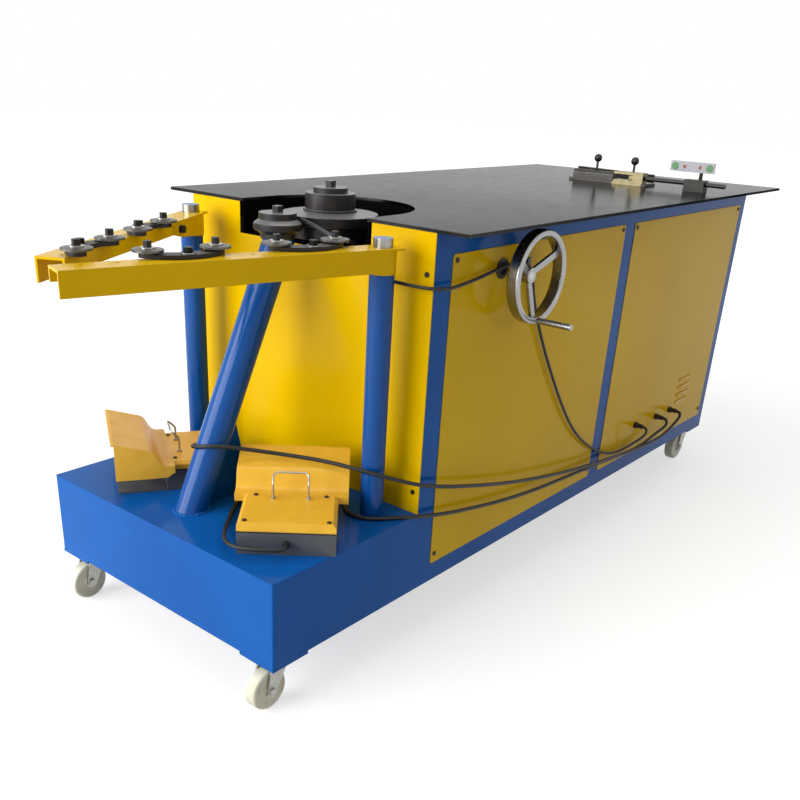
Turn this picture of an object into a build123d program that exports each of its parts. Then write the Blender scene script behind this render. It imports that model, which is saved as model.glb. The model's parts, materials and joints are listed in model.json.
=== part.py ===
"""Duct elbow machine: a wheeled stand with a pair of forming dies, two guide arms and foot switches.

Millimetres, +Z up, +X along the stand away from the guide arms, -Y the long side with the handwheel.
The origin lies on the floor, under the middle of the machine's box.
"""
from build123d import *
import os
from math import cos, pi, radians, sin, tan

os.makedirs("parts", exist_ok=True)

# Fits
running_clearance = 0.05
seat_gap = 0.1
loose_gap = 0.3

# Stand: stations run along X from the body's front face, offsets along Y from its middle plane
ground_clearance = 136.0
body_length = 1850.0
body_width = 820.0
base_length = 495.0
base_height = 216.0
base_wall = 6.0
base_edge_radius = 4.0
table_height = 1036.0
table_width = 1002.0
table_thick = 8.0
table_front_lip = 5.0
table_rear_lip = 60.0
angle_thick = 6.0
angle_return = 55.0
front_post_width = 80.0
mid_post_width = 93.0
mid_post_station = 942.0
rear_post_width = 60.0
rail_depth = 67.0
strap_width = 50.0
front_strap_station = 1270.0
rear_strap_station = 1560.0
panel_thick = 2.0
panel_lap = 15.0
panel_corner_radius = 8.0
screw_head_radius = 6.0
screw_head_height = 3.0
screw_inset = 14.0
screw_low_inset = 27.0
front_screw_inset = 19.0
front_screw_low = 56.0
front_screw_high = 92.0
louvre_length = 100.0
louvre_height = 12.0
louvre_lift = 5.0
louvre_pitch = 28.0
louvre_count = 4
louvre_station = 1590.0
louvre_rise = 164.0

# Bed inside the stand, carriage and drive
bed_drop = 300.0
beam_depth = 60.0
beam_thick = 20.0
beam_offset = 170.0
way_width = 30.0
way_depth = 25.0
way_start = 30.0
way_length = 265.0
carriage_thick = 20.0
carriage_width = 390.0
carriage_front = 70.0
carriage_rear = 160.0
housing_radius = 75.0
housing_die_gap = 41.0
bearing_outer = 50.0
bearing_width = 22.0
spindle_radius = 30.0
spindle_nose_radius = 25.0
spindle_tail = 120.0
spindle_slot_gap = 10.0
reducer_length = 130.0
reducer_width = 150.0
reducer_height = 160.0
motor_drop = 95.0
motor_radius = 62.0
motor_length = 230.0
carriage_travel = 40.0
nut_station = 222.0
nut_length = 18.0
nut_width = 60.0

# Dies and their well
die_station = 98.0
die_spacing = 181.0
well_radius = 212.0
well_wall = 3.0
well_floor_depth = 87.0
panel_notch_half = 224.0
main_die_radius = 120.0
main_die_base_radius = 104.0
main_die_neck_radius = 63.0
main_die_collar_radius = 67.0
main_die_drop = 74.0
main_die_flange_drop = 14.0
main_die_flange_thick = 28.0
main_die_groove = 5.0
main_die_rise = 29.0
cap_radius = 43.0
cap_thick = 13.0
bolt_square = 18.0
bolt_height = 15.0
bolt_shank_radius = 8.0
bolt_shank_length = 40.0
nose_recess = 11.0
small_die_radius = 58.0
small_die_neck_radius = 42.0
small_die_drop = 64.0
small_die_ridge_drop = 37.0
small_die_ridge_thick = 14.0
small_die_ridge_round = 4.7
small_die_cone = 9.0
small_die_top_drop = 18.0
small_cap_radius = 45.0
small_cap_thick = 12.0
column_radius = 38.0
column_wall = 5.0
column_foot_station = -377.0
column_head_thick = 12.0
column_rib_thick = 12.0
column_rib_station = -189.0
column_rib_height = 210.0
small_pin_radius = 15.0
finger_radius = 5.0
finger_bend = 20.0
finger_points = (
    (16.0, -180.0, -well_floor_depth), (4.0, -172.0, -64.0), (-26.0, -118.0, -48.0),
    (-26.0, -55.0, -30.0), (-34.0, -27.0, -22.0),
)

# Guide arms
post_station = -80.0
post_offset = 325.0
post_radius = 28.75
post_wall = 5.0
pin_radius = 22.0
pin_rise = 20.0
arm_drop = 42.0
right_arm_length = 705.0
left_arm_length = 720.0
arm_width = 62.0
arm_outer_leg = 50.0
arm_inner_leg = 30.0
arm_thick = 5.0
root_plate_thick = 3.0
root_plate_depth = 54.0
root_plate_waist = 40.0
root_plate_waist_station = 150.0
root_plate_length = 195.0
sleeve_length = 56.0
arm_tail = 38.0
right_arm_heading = 163.5
left_arm_heading = 209.7
arm_hole_radius = 4.5
right_hole_first = 168.0
left_hole_first = 204.0
arm_hole_pitch = 69.0
arm_hole_count = 8
arm_hole_shift = 10.0
clamp_head_radius = 10.0
clamp_head_length = 12.0
clamp_station = 160.0
clamp_drop = 19.0
right_rocker_holes = (0, 4)
left_rocker_holes = (2, 6)
rocker_half_span = 70.0
rocker_rise = 30.0
rocker_width = 36.0
rocker_thick = 8.0
rocker_lift = 1.0
pivot_radius = 6.0
pivot_spacer_radius = 10.0
pivot_head_radius = 10.0
pivot_head_height = 10.0
roller_bolt_radius = 5.0
roller_hub_radius = 20.0
roller_hub_height = 3.0
roller_disc_radius = 31.0
roller_disc_height = 4.0
roller_cone_height = 1.5
roller_cone_radius = 22.0
washer_radius = 15.0
washer_thick = 2.0
roller_head_radius = 8.5
roller_head_height = 12.0

# Handwheel and lead screw
wheel_station = 322.0
wheel_table_gap = 9.0
wheel_stand_off = 70.0
rim_radius = 104.0
rim_width = 16.0
rim_depth = 34.0
rim_round = 6.0
hub_radius = 19.0
hub_length = 32.0
hub_setback = 14.0
spoke_count = 3
spoke_width = 17.0
spoke_thick = 8.0
grip_reach = 112.0
grip_radius = 8.0
grip_round = 4.0
grip_pin_radius = 4.0
grip_wall_end = 6.0
shaft_radius = 10.0
bevel_inner = 18.0
bevel_face = 14.0
bracket_thick = 16.0
bracket_foot = 12.0
bracket_front = 20.0
bracket_head = 22.0
bracket_offset = 104.0
thrust_station = 36.0
thrust_width = 50.0
screw_front_gap = 3.0
screw_tail = 8.0
shaft_hole_radius = 14.0

# Casters
caster_plate = 110.0
caster_plate_thick = 8.0
wheel_radius = 50.0
tread_width = 34.0
tread_round = 6.0
caster_hub_radius = 17.0
caster_hub_width = 40.0
axle_radius = 6.0
axle_head_radius = 10.0
axle_head_length = 5.0
caster_trail = 28.0
fork_thick = 5.0
fork_disc_radius = 38.0
fork_leg_width = 52.0
fork_eye_radius = 15.0
kingpin_radius = 8.0
kingpin_head_radius = 14.0
kingpin_head_height = 6.0

# Foot switches: place of the rear edge's middle, and the way from there to the mouth in degrees
near_pedal_station = -380.0
near_pedal_offset = -333.5
near_pedal_heading = 41.2
far_pedal_station = -137.3
far_pedal_offset = 130.3
far_pedal_heading = 148.4
pedal_width = 222.0
pedal_length = 300.0
pedal_box_length = 180.0
pedal_box_height = 56.0
pedal_tray_height = 6.0
pedal_wall = 4.0
lid_height = 76.0
lid_edge = 3.0
lid_bevel = 7.0
lid_chamfer = 8.0
hood_width = 270.0
hood_start = 160.0
hood_step = 176.0
hood_shoulder = 224.0
hood_shoulder_height = 120.0
hood_end = 305.0
hood_height = 142.0
hood_lip = 7.0
hood_drop = 11.0
hood_corner = 18.0
lid_screw_radius = 5.0
lid_screw_height = 2.0
lid_rear_screw_station = 16.0
lid_rear_screw_span = 188.0
lid_front_screw_station = 154.0
lid_front_screw_span = 166.0
handle_span = 83.0
handle_station = 138.0
handle_leg = 38.0
handle_lean = 20.0
handle_wire_radius = 2.5
handle_bend = 12.0
handle_nut_radius = 6.0
handle_nut_height = 5.0
treadle_station = 194.0
treadle_level = 37.0
treadle_length = 92.0
treadle_width = 170.0
treadle_thick = 6.0
treadle_barrel_radius = 8.0
treadle_pin_radius = 4.0
treadle_tilt = 10.0
ear_width = 8.0
ear_length = 16.0
ear_gap = 1.0

# Gauge on the rear of the table
gauge_station = 1474.0
gauge_rod_setback = 34.0
gauge_foot_margin = 24.0
gauge_foot_thick = 8.0
gauge_foot_near = -215.0
gauge_foot_far = 72.0
gauge_rod_radius = 7.0
gauge_rod_rise = 24.0
gauge_rod_near = -480.0
barrel_radius = 12.0
barrel_far = 64.0
barrel_near = -88.0
clevis_near = -202.0
clevis_far = -94.0
clevis_width = 36.0
clevis_height = 34.0
clevis_slot = 18.0
clevis_slot_length = 70.0
far_lever_offset = -1.0
near_lever_offset = -141.0
lever_ball_radius = 13.5
lever_ball_rise = 50.0
lever_rod_radius = 4.0
lever_hub_radius = 9.0
lever_hub_length = 14.0
lever_pin_radius = 4.0
lever_cheek = 5.0
far_knob_offset = 17.0
near_knob_offset = -73.0
knob_radius = 7.0
knob_height = 16.0
slide_block_near = -415.0
slide_block_far = -347.0
slide_block_width = 34.0
slide_block_rise = 13.0
slide_post_radius = 6.0
slide_post_offset = -389.0
gauge_plate_near = -432.0
gauge_plate_far = -283.0
gauge_plate_rise = 34.0
gauge_plate_height = 32.0
gauge_plate_thick = 6.0
gauge_dot_radius = 11.0
gauge_dot_thick = 2.0
rear_bar_near_station = 1634.0
rear_bar_near_offset = -142.0
rear_bar_far_station = 1708.0
rear_bar_far_offset = 193.0
rear_bar_width = 20.0
rear_bar_height = 24.0

# Electric parts and cables
box_length = 360.0
box_width = 300.0
box_height = 220.0
box_wall = 2.0
box_hole_pitch = 60.0
handwheel_gland_station = 1214.0
handwheel_gland_rise = 153.0
near_pedal_gland_station = 1379.0
near_pedal_gland_rise = 145.0
far_pedal_gland_station = 1494.0
far_pedal_gland_rise = 144.0
gland_nut_radius = 11.0
gland_nut_length = 12.0
gland_radius = 8.0
gland_length = 30.0
grommet_station = 269.0
grommet_drop = 113.0
grommet_radius = 20.0
grommet_lip = 5.0
grommet_lift = 3.0
relief_length = 8.0
front_grommet_offset = -258.0
front_grommet_drop = 124.0
clip_station = 381.0
clip_drop = 105.0
clip_size = 14.0
clip_lift = 8.0
handwheel_cable_diameter = 8.0
pedal_cable_diameter = 10.0
bend_share = 0.45

# Cable routes: station, offset and height above the floor of each point
handwheel_cable_points = (
    (-10, -258, 912), (-20, -258, 912), (-29, -265, 913), (-34, -283, 914), (-34, -312, 914),
    (-32, -348, 913), (-27, -388, 911), (-12, -424, 910), (20, -438, 909), (64, -432, 909),
    (125, -426, 912), (188, -424, 920), (245, -424, 928), (300, -426, 934), (343, -428, 933),
    (375, -428, 918), (394, -427, 884), (411, -425, 841), (436, -424, 791), (472, -424, 730),
    (514, -424, 666), (560, -424, 603), (610, -424, 537), (662, -424, 474), (718, -424, 413),
    (778, -424, 361), (846, -424, 316), (920, -424, 277), (990, -424, 249), (1050, -424, 233),
    (1102, -425, 227), (1142, -433, 235), (1166, -447, 249), (1180, -457, 260), (1192, -463, 270),
    (1200, -464, 277), (1209, -460, 285), (1214, -451, 289), (1214, -442, 289),
)
near_pedal_cable_points = (
    (-386, -339, 380), (-393, -345, 380), (-404, -347, 380), (-414, -342, 380), (-429, -326, 380),
    (-450, -300, 380), (-468, -267, 379), (-464, -229, 375), (-438, -189, 368), (-398, -149, 361),
    (-351, -109, 358), (-302, -70, 358), (-253, -41, 358), (-202, -36, 358), (-155, -57, 358),
    (-113, -98, 358), (-81, -146, 358), (-69, -200, 358), (-86, -241, 358), (-112, -268, 358),
    (-126, -291, 358), (-129, -318, 358), (-117, -345, 358), (-94, -369, 358), (-64, -393, 359),
    (-26, -418, 357), (18, -428, 349), (76, -433, 336), (148, -435, 322), (242, -435, 304),
    (342, -435, 287), (448, -435, 272), (560, -435, 260), (680, -435, 251), (810, -435, 242),
    (940, -435, 232), (1060, -435, 221), (1160, -435, 213), (1240, -436, 213), (1297, -440, 224),
    (1327, -447, 238), (1345, -456, 250), (1359, -463, 261), (1366, -464, 268), (1374, -460, 277),
    (1379, -451, 281), (1379, -442, 281),
)
far_pedal_cable_points = (
    (-129, 125, 380), (-118, 118, 380), (-104, 107, 381), (-93, 91, 384), (-88, 71, 389),
    (-96, 51, 397), (-116, 37, 407), (-146, 33, 420), (-180, 40, 436), (-218, 50, 454), (-256, 58, 471),
    (-295, 59, 484), (-330, 45, 494), (-351, 16, 505), (-353, -18, 515), (-334, -46, 519),
    (-298, -67, 512), (-258, -93, 502), (-222, -128, 495), (-191, -173, 491), (-165, -221, 489),
    (-145, -269, 486), (-128, -316, 482), (-106, -359, 475), (-71, -396, 461), (-25, -425, 444),
    (32, -441, 428), (100, -447, 409), (180, -447, 387), (270, -447, 363), (370, -447, 339),
    (480, -447, 315), (600, -447, 293), (725, -447, 272), (850, -447, 255), (970, -447, 241),
    (1085, -447, 229), (1195, -448, 219), (1290, -449, 213), (1370, -451, 217), (1424, -455, 231),
    (1455, -460, 250), (1471, -463, 262), (1479, -464, 269), (1488, -460, 276), (1494, -451, 280),
    (1494, -442, 280),
)

# Derived places
right_arm_angle = radians(right_arm_heading)
left_arm_angle = radians(left_arm_heading)
arm_reach = -post_station - right_arm_length * cos(right_arm_angle) + arm_width / 2 * sin(right_arm_angle)
front_x = (arm_reach - body_length - table_rear_lip) / 2
rear_x = front_x + body_length
wheel_reach = body_width / 2 + wheel_stand_off + grip_reach
mid_y = (wheel_reach - table_width / 2) / 2
near_y = mid_y - body_width / 2
far_y = mid_y + body_width / 2
rail_z = ground_clearance
base_top = rail_z + base_height
table_under = table_height - table_thick
base_front = front_x - base_length
panel_bottom = rail_z + rail_depth - panel_lap
panel_top = table_under - rail_depth + panel_lap
well_floor = table_height - well_floor_depth
die_x = front_x + die_station
small_die_x = die_x - die_spacing
main_die_bottom = table_height - main_die_drop
main_die_flange_top = table_height - main_die_flange_drop
main_die_top = table_height + main_die_rise
small_die_bottom = table_height - small_die_drop
small_die_ridge = table_height - small_die_ridge_drop
small_die_top = table_height - small_die_top_drop
arm_top = table_height - arm_drop
bed_height = table_height - bed_drop
way_top = bed_height + way_depth
carriage_bottom = way_top + seat_gap
carriage_top = carriage_bottom + carriage_thick
wheel_height = table_under - wheel_table_gap - rim_width / 2 - rim_radius
wheel_x = front_x + wheel_station
wheel_y = near_y - wheel_stand_off
panel_face = near_y - panel_thick
grommet_x = front_x + grommet_station
grommet_height = table_height - grommet_drop
front_grommet_height = table_height - front_grommet_drop
gland_places = (
    (front_x + handwheel_gland_station, rail_z + handwheel_gland_rise),
    (front_x + near_pedal_gland_station, rail_z + near_pedal_gland_rise),
    (front_x + far_pedal_gland_station, rail_z + far_pedal_gland_rise),
)
mid_x = front_x + mid_post_station


def block(low, high, mode=Mode.ADD):
    """A box between two opposite corners, in the part that is open."""
    centre = [(a + b) / 2 for a, b in zip(low, high)]
    with Locations(tuple(centre)):
        Box(high[0] - low[0], high[1] - low[1], high[2] - low[2], mode=mode)


def round_bar(start, end, radius, mode=Mode.ADD):
    """A round bar from one point to another, in the part that is open."""
    run = Vector(*end) - Vector(*start)
    with Locations(Plane(origin=start, z_dir=run).location):
        Cylinder(radius, run.length, align=(Align.CENTER, Align.CENTER, Align.MIN), mode=mode)


def x_bar(y, z, start, end, radius, mode=Mode.ADD):
    """A round bar along X, in the part that is open."""
    round_bar((start, y, z), (end, y, z), radius, mode)


def y_bar(x, z, start, end, radius, mode=Mode.ADD):
    """A round bar along Y, in the part that is open."""
    round_bar((x, start, z), (x, end, z), radius, mode)


def z_bar(x, y, start, end, radius, mode=Mode.ADD):
    """A round bar along Z, in the part that is open."""
    round_bar((x, y, start), (x, y, end), radius, mode)


def upright_plane(x, y):
    """A plane whose local axes are +X and +Z, for profiles turned about the vertical through a point."""
    return Plane(origin=(x, y, 0), x_dir=(1, 0, 0), z_dir=(0, -1, 0))


def heading_plane(x, y, z, angle):
    """A level plane whose local +X points along a heading."""
    return Plane(origin=(x, y, z), x_dir=(cos(angle), sin(angle), 0), z_dir=(0, 0, 1))


def along_plane(plane):
    """The upright plane through the middle of a piece, with local axes along its heading and up."""
    return Plane(origin=plane.origin, x_dir=plane.x_dir, z_dir=-plane.y_dir)


def save(piece, name):
    """Label a finished piece and write it."""
    piece.label = name
    export_step(piece, f"parts/{name}.step")


# Base platform in front of the body: a folded sheet box, open below and behind
with BuildPart() as base_platform:
    block((base_front, near_y, rail_z), (front_x, far_y, base_top))
    block((base_front + base_wall, near_y + base_wall, rail_z),
          (front_x, far_y - base_wall, base_top - base_wall), mode=Mode.SUBTRACT)
    front_corners = base_platform.edges().filter_by(Axis.Z).group_by(Axis.X)[0]
    fillet(front_corners, radius=base_edge_radius)
save(base_platform.part, "base_platform")

# Welded frame of angle iron with a bed for the carriage
with BuildPart() as main_frame:
    for side, inward in ((near_y, 1), (far_y, -1)):
        skin = sorted((side, side + inward * angle_thick))
        flange = sorted((side, side + inward * angle_return))
        block((front_x, skin[0], rail_z), (front_x + front_post_width, skin[1], table_under))
        block((front_x, flange[0], rail_z), (front_x + angle_thick, flange[1], table_under))
        block((rear_x - rear_post_width, skin[0], rail_z), (rear_x, skin[1], table_under))
        block((rear_x - angle_thick, flange[0], rail_z), (rear_x, flange[1], table_under))
        block((mid_x - mid_post_width / 2, skin[0], rail_z),
              (mid_x + mid_post_width / 2, skin[1], table_under))
        block((mid_x - angle_thick / 2, flange[0], rail_z),
              (mid_x + angle_thick / 2, flange[1], table_under))
        block((front_x, skin[0], rail_z), (rear_x, skin[1], rail_z + rail_depth))
        block((front_x, flange[0], rail_z), (rear_x, flange[1], rail_z + angle_thick))
        block((front_x, skin[0], table_under - rail_depth), (rear_x, skin[1], table_under))
        block((front_x, flange[0], table_under - angle_thick), (rear_x, flange[1], table_under))
        beam_y = mid_y - inward * beam_offset
        block((front_x + angle_thick, beam_y - beam_thick / 2, bed_height - beam_depth),
              (mid_x, beam_y + beam_thick / 2, bed_height))
    for end_x, inward in ((front_x, 1), (rear_x, -1)):
        skin = sorted((end_x, end_x + inward * angle_thick))
        flange = sorted((end_x, end_x + inward * angle_return))
        block((skin[0], near_y, rail_z), (skin[1], far_y, rail_z + rail_depth))
        block((flange[0], near_y, rail_z), (flange[1], far_y, rail_z + angle_thick))
    block((rear_x - angle_thick, near_y, table_under - rail_depth), (rear_x, far_y, table_under))
    for beam_x in (front_x + angle_thick, mid_x):
        block((beam_x, near_y, bed_height - beam_depth), (beam_x + beam_thick, far_y, bed_height))
    for station in (front_strap_station, rear_strap_station):
        strap_x = front_x + station
        block((strap_x - strap_width / 2, near_y, rail_z),
              (strap_x + strap_width / 2, far_y, rail_z + angle_thick))
save(main_frame.part, "main_frame")

# Table plate with a U-shaped notch, open to the front, round the dies
table_front = front_x - table_front_lip
table_rear = rear_x + table_rear_lip
with BuildPart() as table_top:
    with BuildSketch(Plane.XY.offset(table_under)):
        with Locations(((table_front + table_rear) / 2, mid_y)):
            Rectangle(table_rear - table_front, table_width)
        with Locations((die_x, mid_y)):
            Circle(well_radius, mode=Mode.SUBTRACT)
        with Locations(((table_front + die_x) / 2, mid_y)):
            Rectangle(die_x - table_front, 2 * well_radius, mode=Mode.SUBTRACT)
    extrude(amount=table_thick)
save(table_top.part, "table_top")

# Well under the notch: a bent wall and a floor with a slot for the spindle's travel
well_outer = well_radius + well_wall
floor_slot = spindle_radius + spindle_slot_gap
with BuildPart() as die_well:
    with BuildSketch(Plane.XY.offset(well_floor - well_wall)):
        with Locations((die_x, mid_y)):
            Circle(well_outer)
        with Locations(((front_x + die_x) / 2, mid_y)):
            Rectangle(die_x - front_x, 2 * well_outer)
        with Locations((die_x + carriage_travel / 2, mid_y)):
            SlotCenterToCenter(carriage_travel, 2 * floor_slot, mode=Mode.SUBTRACT)
    extrude(amount=well_wall)
    with BuildSketch(Plane.XY.offset(well_floor)):
        with Locations((die_x, mid_y)):
            Circle(well_outer)
        with Locations(((front_x + die_x) / 2, mid_y)):
            Rectangle(die_x - front_x, 2 * well_outer)
        with Locations((die_x, mid_y)):
            Circle(well_radius, mode=Mode.SUBTRACT)
        with Locations(((front_x + die_x) / 2, mid_y)):
            Rectangle(die_x - front_x, 2 * well_radius, mode=Mode.SUBTRACT)
    extrude(amount=table_under - well_floor)
    split(bisect_by=Plane.YZ.offset(front_x), keep=Keep.TOP)
    finger_route = [(front_x + x, mid_y + y, table_height + z) for x, y, z in finger_points]
    with BuildLine() as finger_line:
        FilletPolyline(*finger_route, radius=finger_bend)
    with BuildSketch(Plane(origin=finger_line.line @ 0, z_dir=finger_line.line % 0)):
        Circle(finger_radius)
    sweep()
save(die_well.part, "die_well")

# Front panel over the base platform, cut down to the well's floor
with BuildPart() as panel_front:
    block((front_x - panel_thick, near_y, base_top), (front_x, far_y, table_under))
    block((front_x - panel_thick, mid_y - panel_notch_half, well_floor),
          (front_x, mid_y + panel_notch_half, table_under), mode=Mode.SUBTRACT)
    grommet_y = mid_y + front_grommet_offset
    x_bar(grommet_y, front_grommet_height, front_x, front_x - panel_thick, gland_radius, Mode.SUBTRACT)
save(panel_front.part, "panel_front")

# Side panels: two sheets on each long side, with cooling louvres in the rear ones
bay_spans = (
    (front_x + front_post_width - panel_lap, mid_x - mid_post_width / 2 + panel_lap),
    (mid_x + mid_post_width / 2 - panel_lap, rear_x - rear_post_width + panel_lap),
)
side_faces = ((near_y, -1), (far_y, 1))
with BuildPart() as side_panels:
    for face_y, outward in side_faces:
        sheet_plane = Plane(origin=(0, face_y, 0), x_dir=(-outward, 0, 0), z_dir=(0, outward, 0))
        for start, end in bay_spans:
            with BuildSketch(sheet_plane):
                with Locations((-outward * (start + end) / 2, (panel_bottom + panel_top) / 2)):
                    RectangleRounded(end - start, panel_top - panel_bottom, panel_corner_radius)
            extrude(amount=panel_thick)
        for index in range(louvre_count):
            level = rail_z + louvre_rise + index * louvre_pitch
            louvre_x = front_x + louvre_station
            louvre_edge = (louvre_x, face_y + outward * panel_thick, level)
            with BuildSketch(Plane(origin=louvre_edge, x_dir=(0, outward, 0), z_dir=(1, 0, 0))):
                with BuildLine():
                    Polyline((0, 0), (louvre_lift, 0), (0, louvre_height), close=True)
                make_face()
            extrude(amount=louvre_length / 2, both=True)
    y_bar(wheel_x, wheel_height, near_y, panel_face, shaft_hole_radius, Mode.SUBTRACT)
    y_bar(grommet_x, grommet_height, near_y, panel_face, grommet_radius, Mode.SUBTRACT)
    for gland_x, gland_z in gland_places:
        y_bar(gland_x, gland_z, near_y, panel_face, gland_radius, Mode.SUBTRACT)
save(side_panels.part, "side_panels")

# Rear panel
rear_panel_width = body_width - 2 * (angle_return - panel_lap)
with BuildPart() as panel_rear:
    with BuildSketch(Plane.YZ.offset(rear_x)):
        with Locations((mid_y, (panel_bottom + panel_top) / 2)):
            RectangleRounded(rear_panel_width, panel_top - panel_bottom, panel_corner_radius)
    extrude(amount=panel_thick)
save(panel_rear.part, "panel_rear")

# Pan-head screws in the corners of every panel
screw_levels = (panel_bottom + screw_low_inset, panel_top - screw_inset)
rear_screw_half = rear_panel_width / 2 - screw_inset
front_screw_half = body_width / 2 - front_screw_inset
with BuildPart() as panel_screws:
    for face_y, outward in side_faces:
        for start, end in bay_spans:
            for screw_x in (start + screw_inset, end - screw_inset):
                for screw_z in screw_levels:
                    root = face_y + outward * panel_thick
                    y_bar(screw_x, screw_z, root, root + outward * screw_head_height, screw_head_radius)
    for screw_y in (mid_y - rear_screw_half, mid_y + rear_screw_half):
        for screw_z in screw_levels:
            root = rear_x + panel_thick
            x_bar(screw_y, screw_z, root, root + screw_head_height, screw_head_radius)
    for screw_y in (mid_y - front_screw_half, mid_y + front_screw_half):
        for screw_z in (base_top + front_screw_low, table_under - front_screw_high):
            root = front_x - panel_thick
            x_bar(screw_y, screw_z, root, root - screw_head_height, screw_head_radius)
save(panel_screws.part, "panel_screws")

# Ways for the carriage, with the bracket that carries the handwheel's shaft and the lead screw
bracket_start = wheel_x - bracket_front
bracket_end = wheel_x + thrust_station + bracket_thick
bracket_top = wheel_height + bracket_head
shaft_bore = shaft_radius + running_clearance
with BuildPart() as carriage_ways:
    for way_y in (mid_y - beam_offset, mid_y + beam_offset):
        block((front_x + way_start, way_y - way_width / 2, bed_height),
              (front_x + way_start + way_length, way_y + way_width / 2, way_top))
    foot_half = beam_offset + beam_thick / 2
    block((bracket_start, mid_y - foot_half, bed_height),
          (bracket_end, mid_y + foot_half, bed_height + bracket_foot))
    block((bracket_start, mid_y - bracket_offset - bracket_thick, bed_height),
          (wheel_x + bracket_front, mid_y - bracket_offset, bracket_top))
    block((bracket_end - bracket_thick, mid_y - thrust_width / 2, bed_height),
          (bracket_end, mid_y + thrust_width / 2, bracket_top))
    y_bar(wheel_x, wheel_height, near_y, mid_y - bracket_offset, shaft_bore, Mode.SUBTRACT)
    x_bar(mid_y, wheel_height, wheel_x, bracket_end, shaft_bore, Mode.SUBTRACT)
save(carriage_ways.part, "carriage_ways")

# Carriage: plate, spindle housing and lead-screw nut in one weldment
housing_top = main_die_bottom - housing_die_gap
nut_x = front_x + nut_station
with BuildPart() as carriage:
    block((die_x - carriage_front, mid_y - carriage_width / 2, carriage_bottom),
          (die_x + carriage_rear, mid_y + carriage_width / 2, carriage_top))
    z_bar(die_x, mid_y, carriage_top, housing_top, housing_radius)
    block((nut_x, mid_y - nut_width / 2, carriage_top),
          (nut_x + nut_length, mid_y + nut_width / 2, bracket_top))
    z_bar(die_x, mid_y, carriage_bottom, housing_top, bearing_outer, Mode.SUBTRACT)
    x_bar(mid_y, wheel_height, nut_x, nut_x + nut_length, shaft_bore, Mode.SUBTRACT)
save(carriage.part, "carriage")

# Bearing rings at both ends of the housing
spindle_bore = spindle_radius + running_clearance
with BuildPart() as spindle_bearings:
    for level in (carriage_bottom, housing_top - bearing_width):
        z_bar(die_x, mid_y, level, level + bearing_width, bearing_outer)
        z_bar(die_x, mid_y, level, level + bearing_width, spindle_bore, Mode.SUBTRACT)
save(spindle_bearings.part, "spindle_bearings")

# Gear motor hung under the carriage: reducer with a hollow output and a round motor behind it
motor_z = carriage_bottom - motor_drop
reducer_rear = die_x + reducer_length / 2
with BuildPart() as gear_motor:
    block((die_x - reducer_length / 2, mid_y - reducer_width / 2, carriage_bottom - reducer_height),
          (reducer_rear, mid_y + reducer_width / 2, carriage_bottom))
    x_bar(mid_y, motor_z, reducer_rear, reducer_rear + motor_length, motor_radius)
    z_bar(die_x, mid_y, carriage_bottom - reducer_height, carriage_bottom, spindle_bore, Mode.SUBTRACT)
save(gear_motor.part, "gear_motor")

# Spindle: tail in the reducer, journal in the bearings, nose in the main die
nose_top = main_die_top - nose_recess
with BuildPart() as spindle:
    z_bar(die_x, mid_y, carriage_bottom - spindle_tail, main_die_bottom, spindle_radius)
    z_bar(die_x, mid_y, main_die_bottom, nose_top, spindle_nose_radius)
    z_bar(die_x, mid_y, nose_top - bolt_shank_length, nose_top, bolt_shank_radius + running_clearance,
          Mode.SUBTRACT)
save(spindle.part, "spindle")

# Main die: a turned body with a wide forming flange, and a cap and bolt that hold it on the spindle
flange_bottom = main_die_flange_top - main_die_flange_thick
groove_bottom = flange_bottom - main_die_groove
groove_radius = main_die_base_radius - main_die_groove
with BuildPart() as main_die:
    with BuildSketch(upright_plane(die_x, mid_y)):
        with BuildLine():
            Polyline(
                (spindle_nose_radius + running_clearance, main_die_bottom),
                (main_die_base_radius, main_die_bottom),
                (main_die_base_radius, groove_bottom),
                (groove_radius, groove_bottom),
                (groove_radius, flange_bottom),
                (main_die_radius, flange_bottom),
                (main_die_radius, main_die_flange_top - main_die_groove),
                (main_die_collar_radius, main_die_flange_top),
                (main_die_collar_radius, main_die_flange_top + main_die_groove),
                (main_die_neck_radius, main_die_flange_top + main_die_groove),
                (main_die_neck_radius, main_die_top),
                (spindle_nose_radius + running_clearance, main_die_top),
                close=True,
            )
        make_face()
    revolve(axis=Axis((die_x, mid_y, 0), (0, 0, 1)))
    cap_top = main_die_top + cap_thick
    z_bar(die_x, mid_y, main_die_top, cap_top, cap_radius)
    block((die_x - bolt_square / 2, mid_y - bolt_square / 2, cap_top),
          (die_x + bolt_square / 2, mid_y + bolt_square / 2, cap_top + bolt_height))
    z_bar(die_x, mid_y, cap_top - bolt_shank_length, cap_top, bolt_shank_radius)
save(main_die.part, "main_die")

# Leaning tube that carries the small die on a fixed pin, with a rib behind its foot
column_top = small_die_bottom - seat_gap - column_head_thick
column_foot = Vector(front_x + column_foot_station, mid_y, base_top)
column_run = Vector(small_die_x, mid_y, column_top) - column_foot
column_section = Plane(origin=column_foot, z_dir=column_run)
column_reach = column_run.length + column_radius
rib_top_x = column_foot.X + column_rib_height * column_run.X / column_run.Z + column_radius
small_pin_top = small_die_top - nose_recess
with BuildPart() as die_column:
    with BuildSketch(column_section):
        Circle(column_radius)
    extrude(amount=column_reach, both=True)
    with BuildSketch(upright_plane(0, mid_y)):
        with BuildLine():
            Polyline((column_foot.X, base_top), (front_x + column_rib_station, base_top),
                     (rib_top_x, base_top + column_rib_height), close=True)
        make_face()
    extrude(amount=column_rib_thick / 2, both=True)
    with BuildSketch(column_section):
        Circle(column_radius - column_wall)
    extrude(amount=column_reach, both=True, mode=Mode.SUBTRACT)
    split(bisect_by=Plane.XY.offset(base_top), keep=Keep.TOP)
    split(bisect_by=Plane.XY.offset(column_top), keep=Keep.BOTTOM)
    z_bar(small_die_x, mid_y, column_top, column_top + column_head_thick, column_radius)
    z_bar(small_die_x, mid_y, column_top, small_pin_top, small_pin_radius)
save(die_column.part, "die_column")

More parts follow.
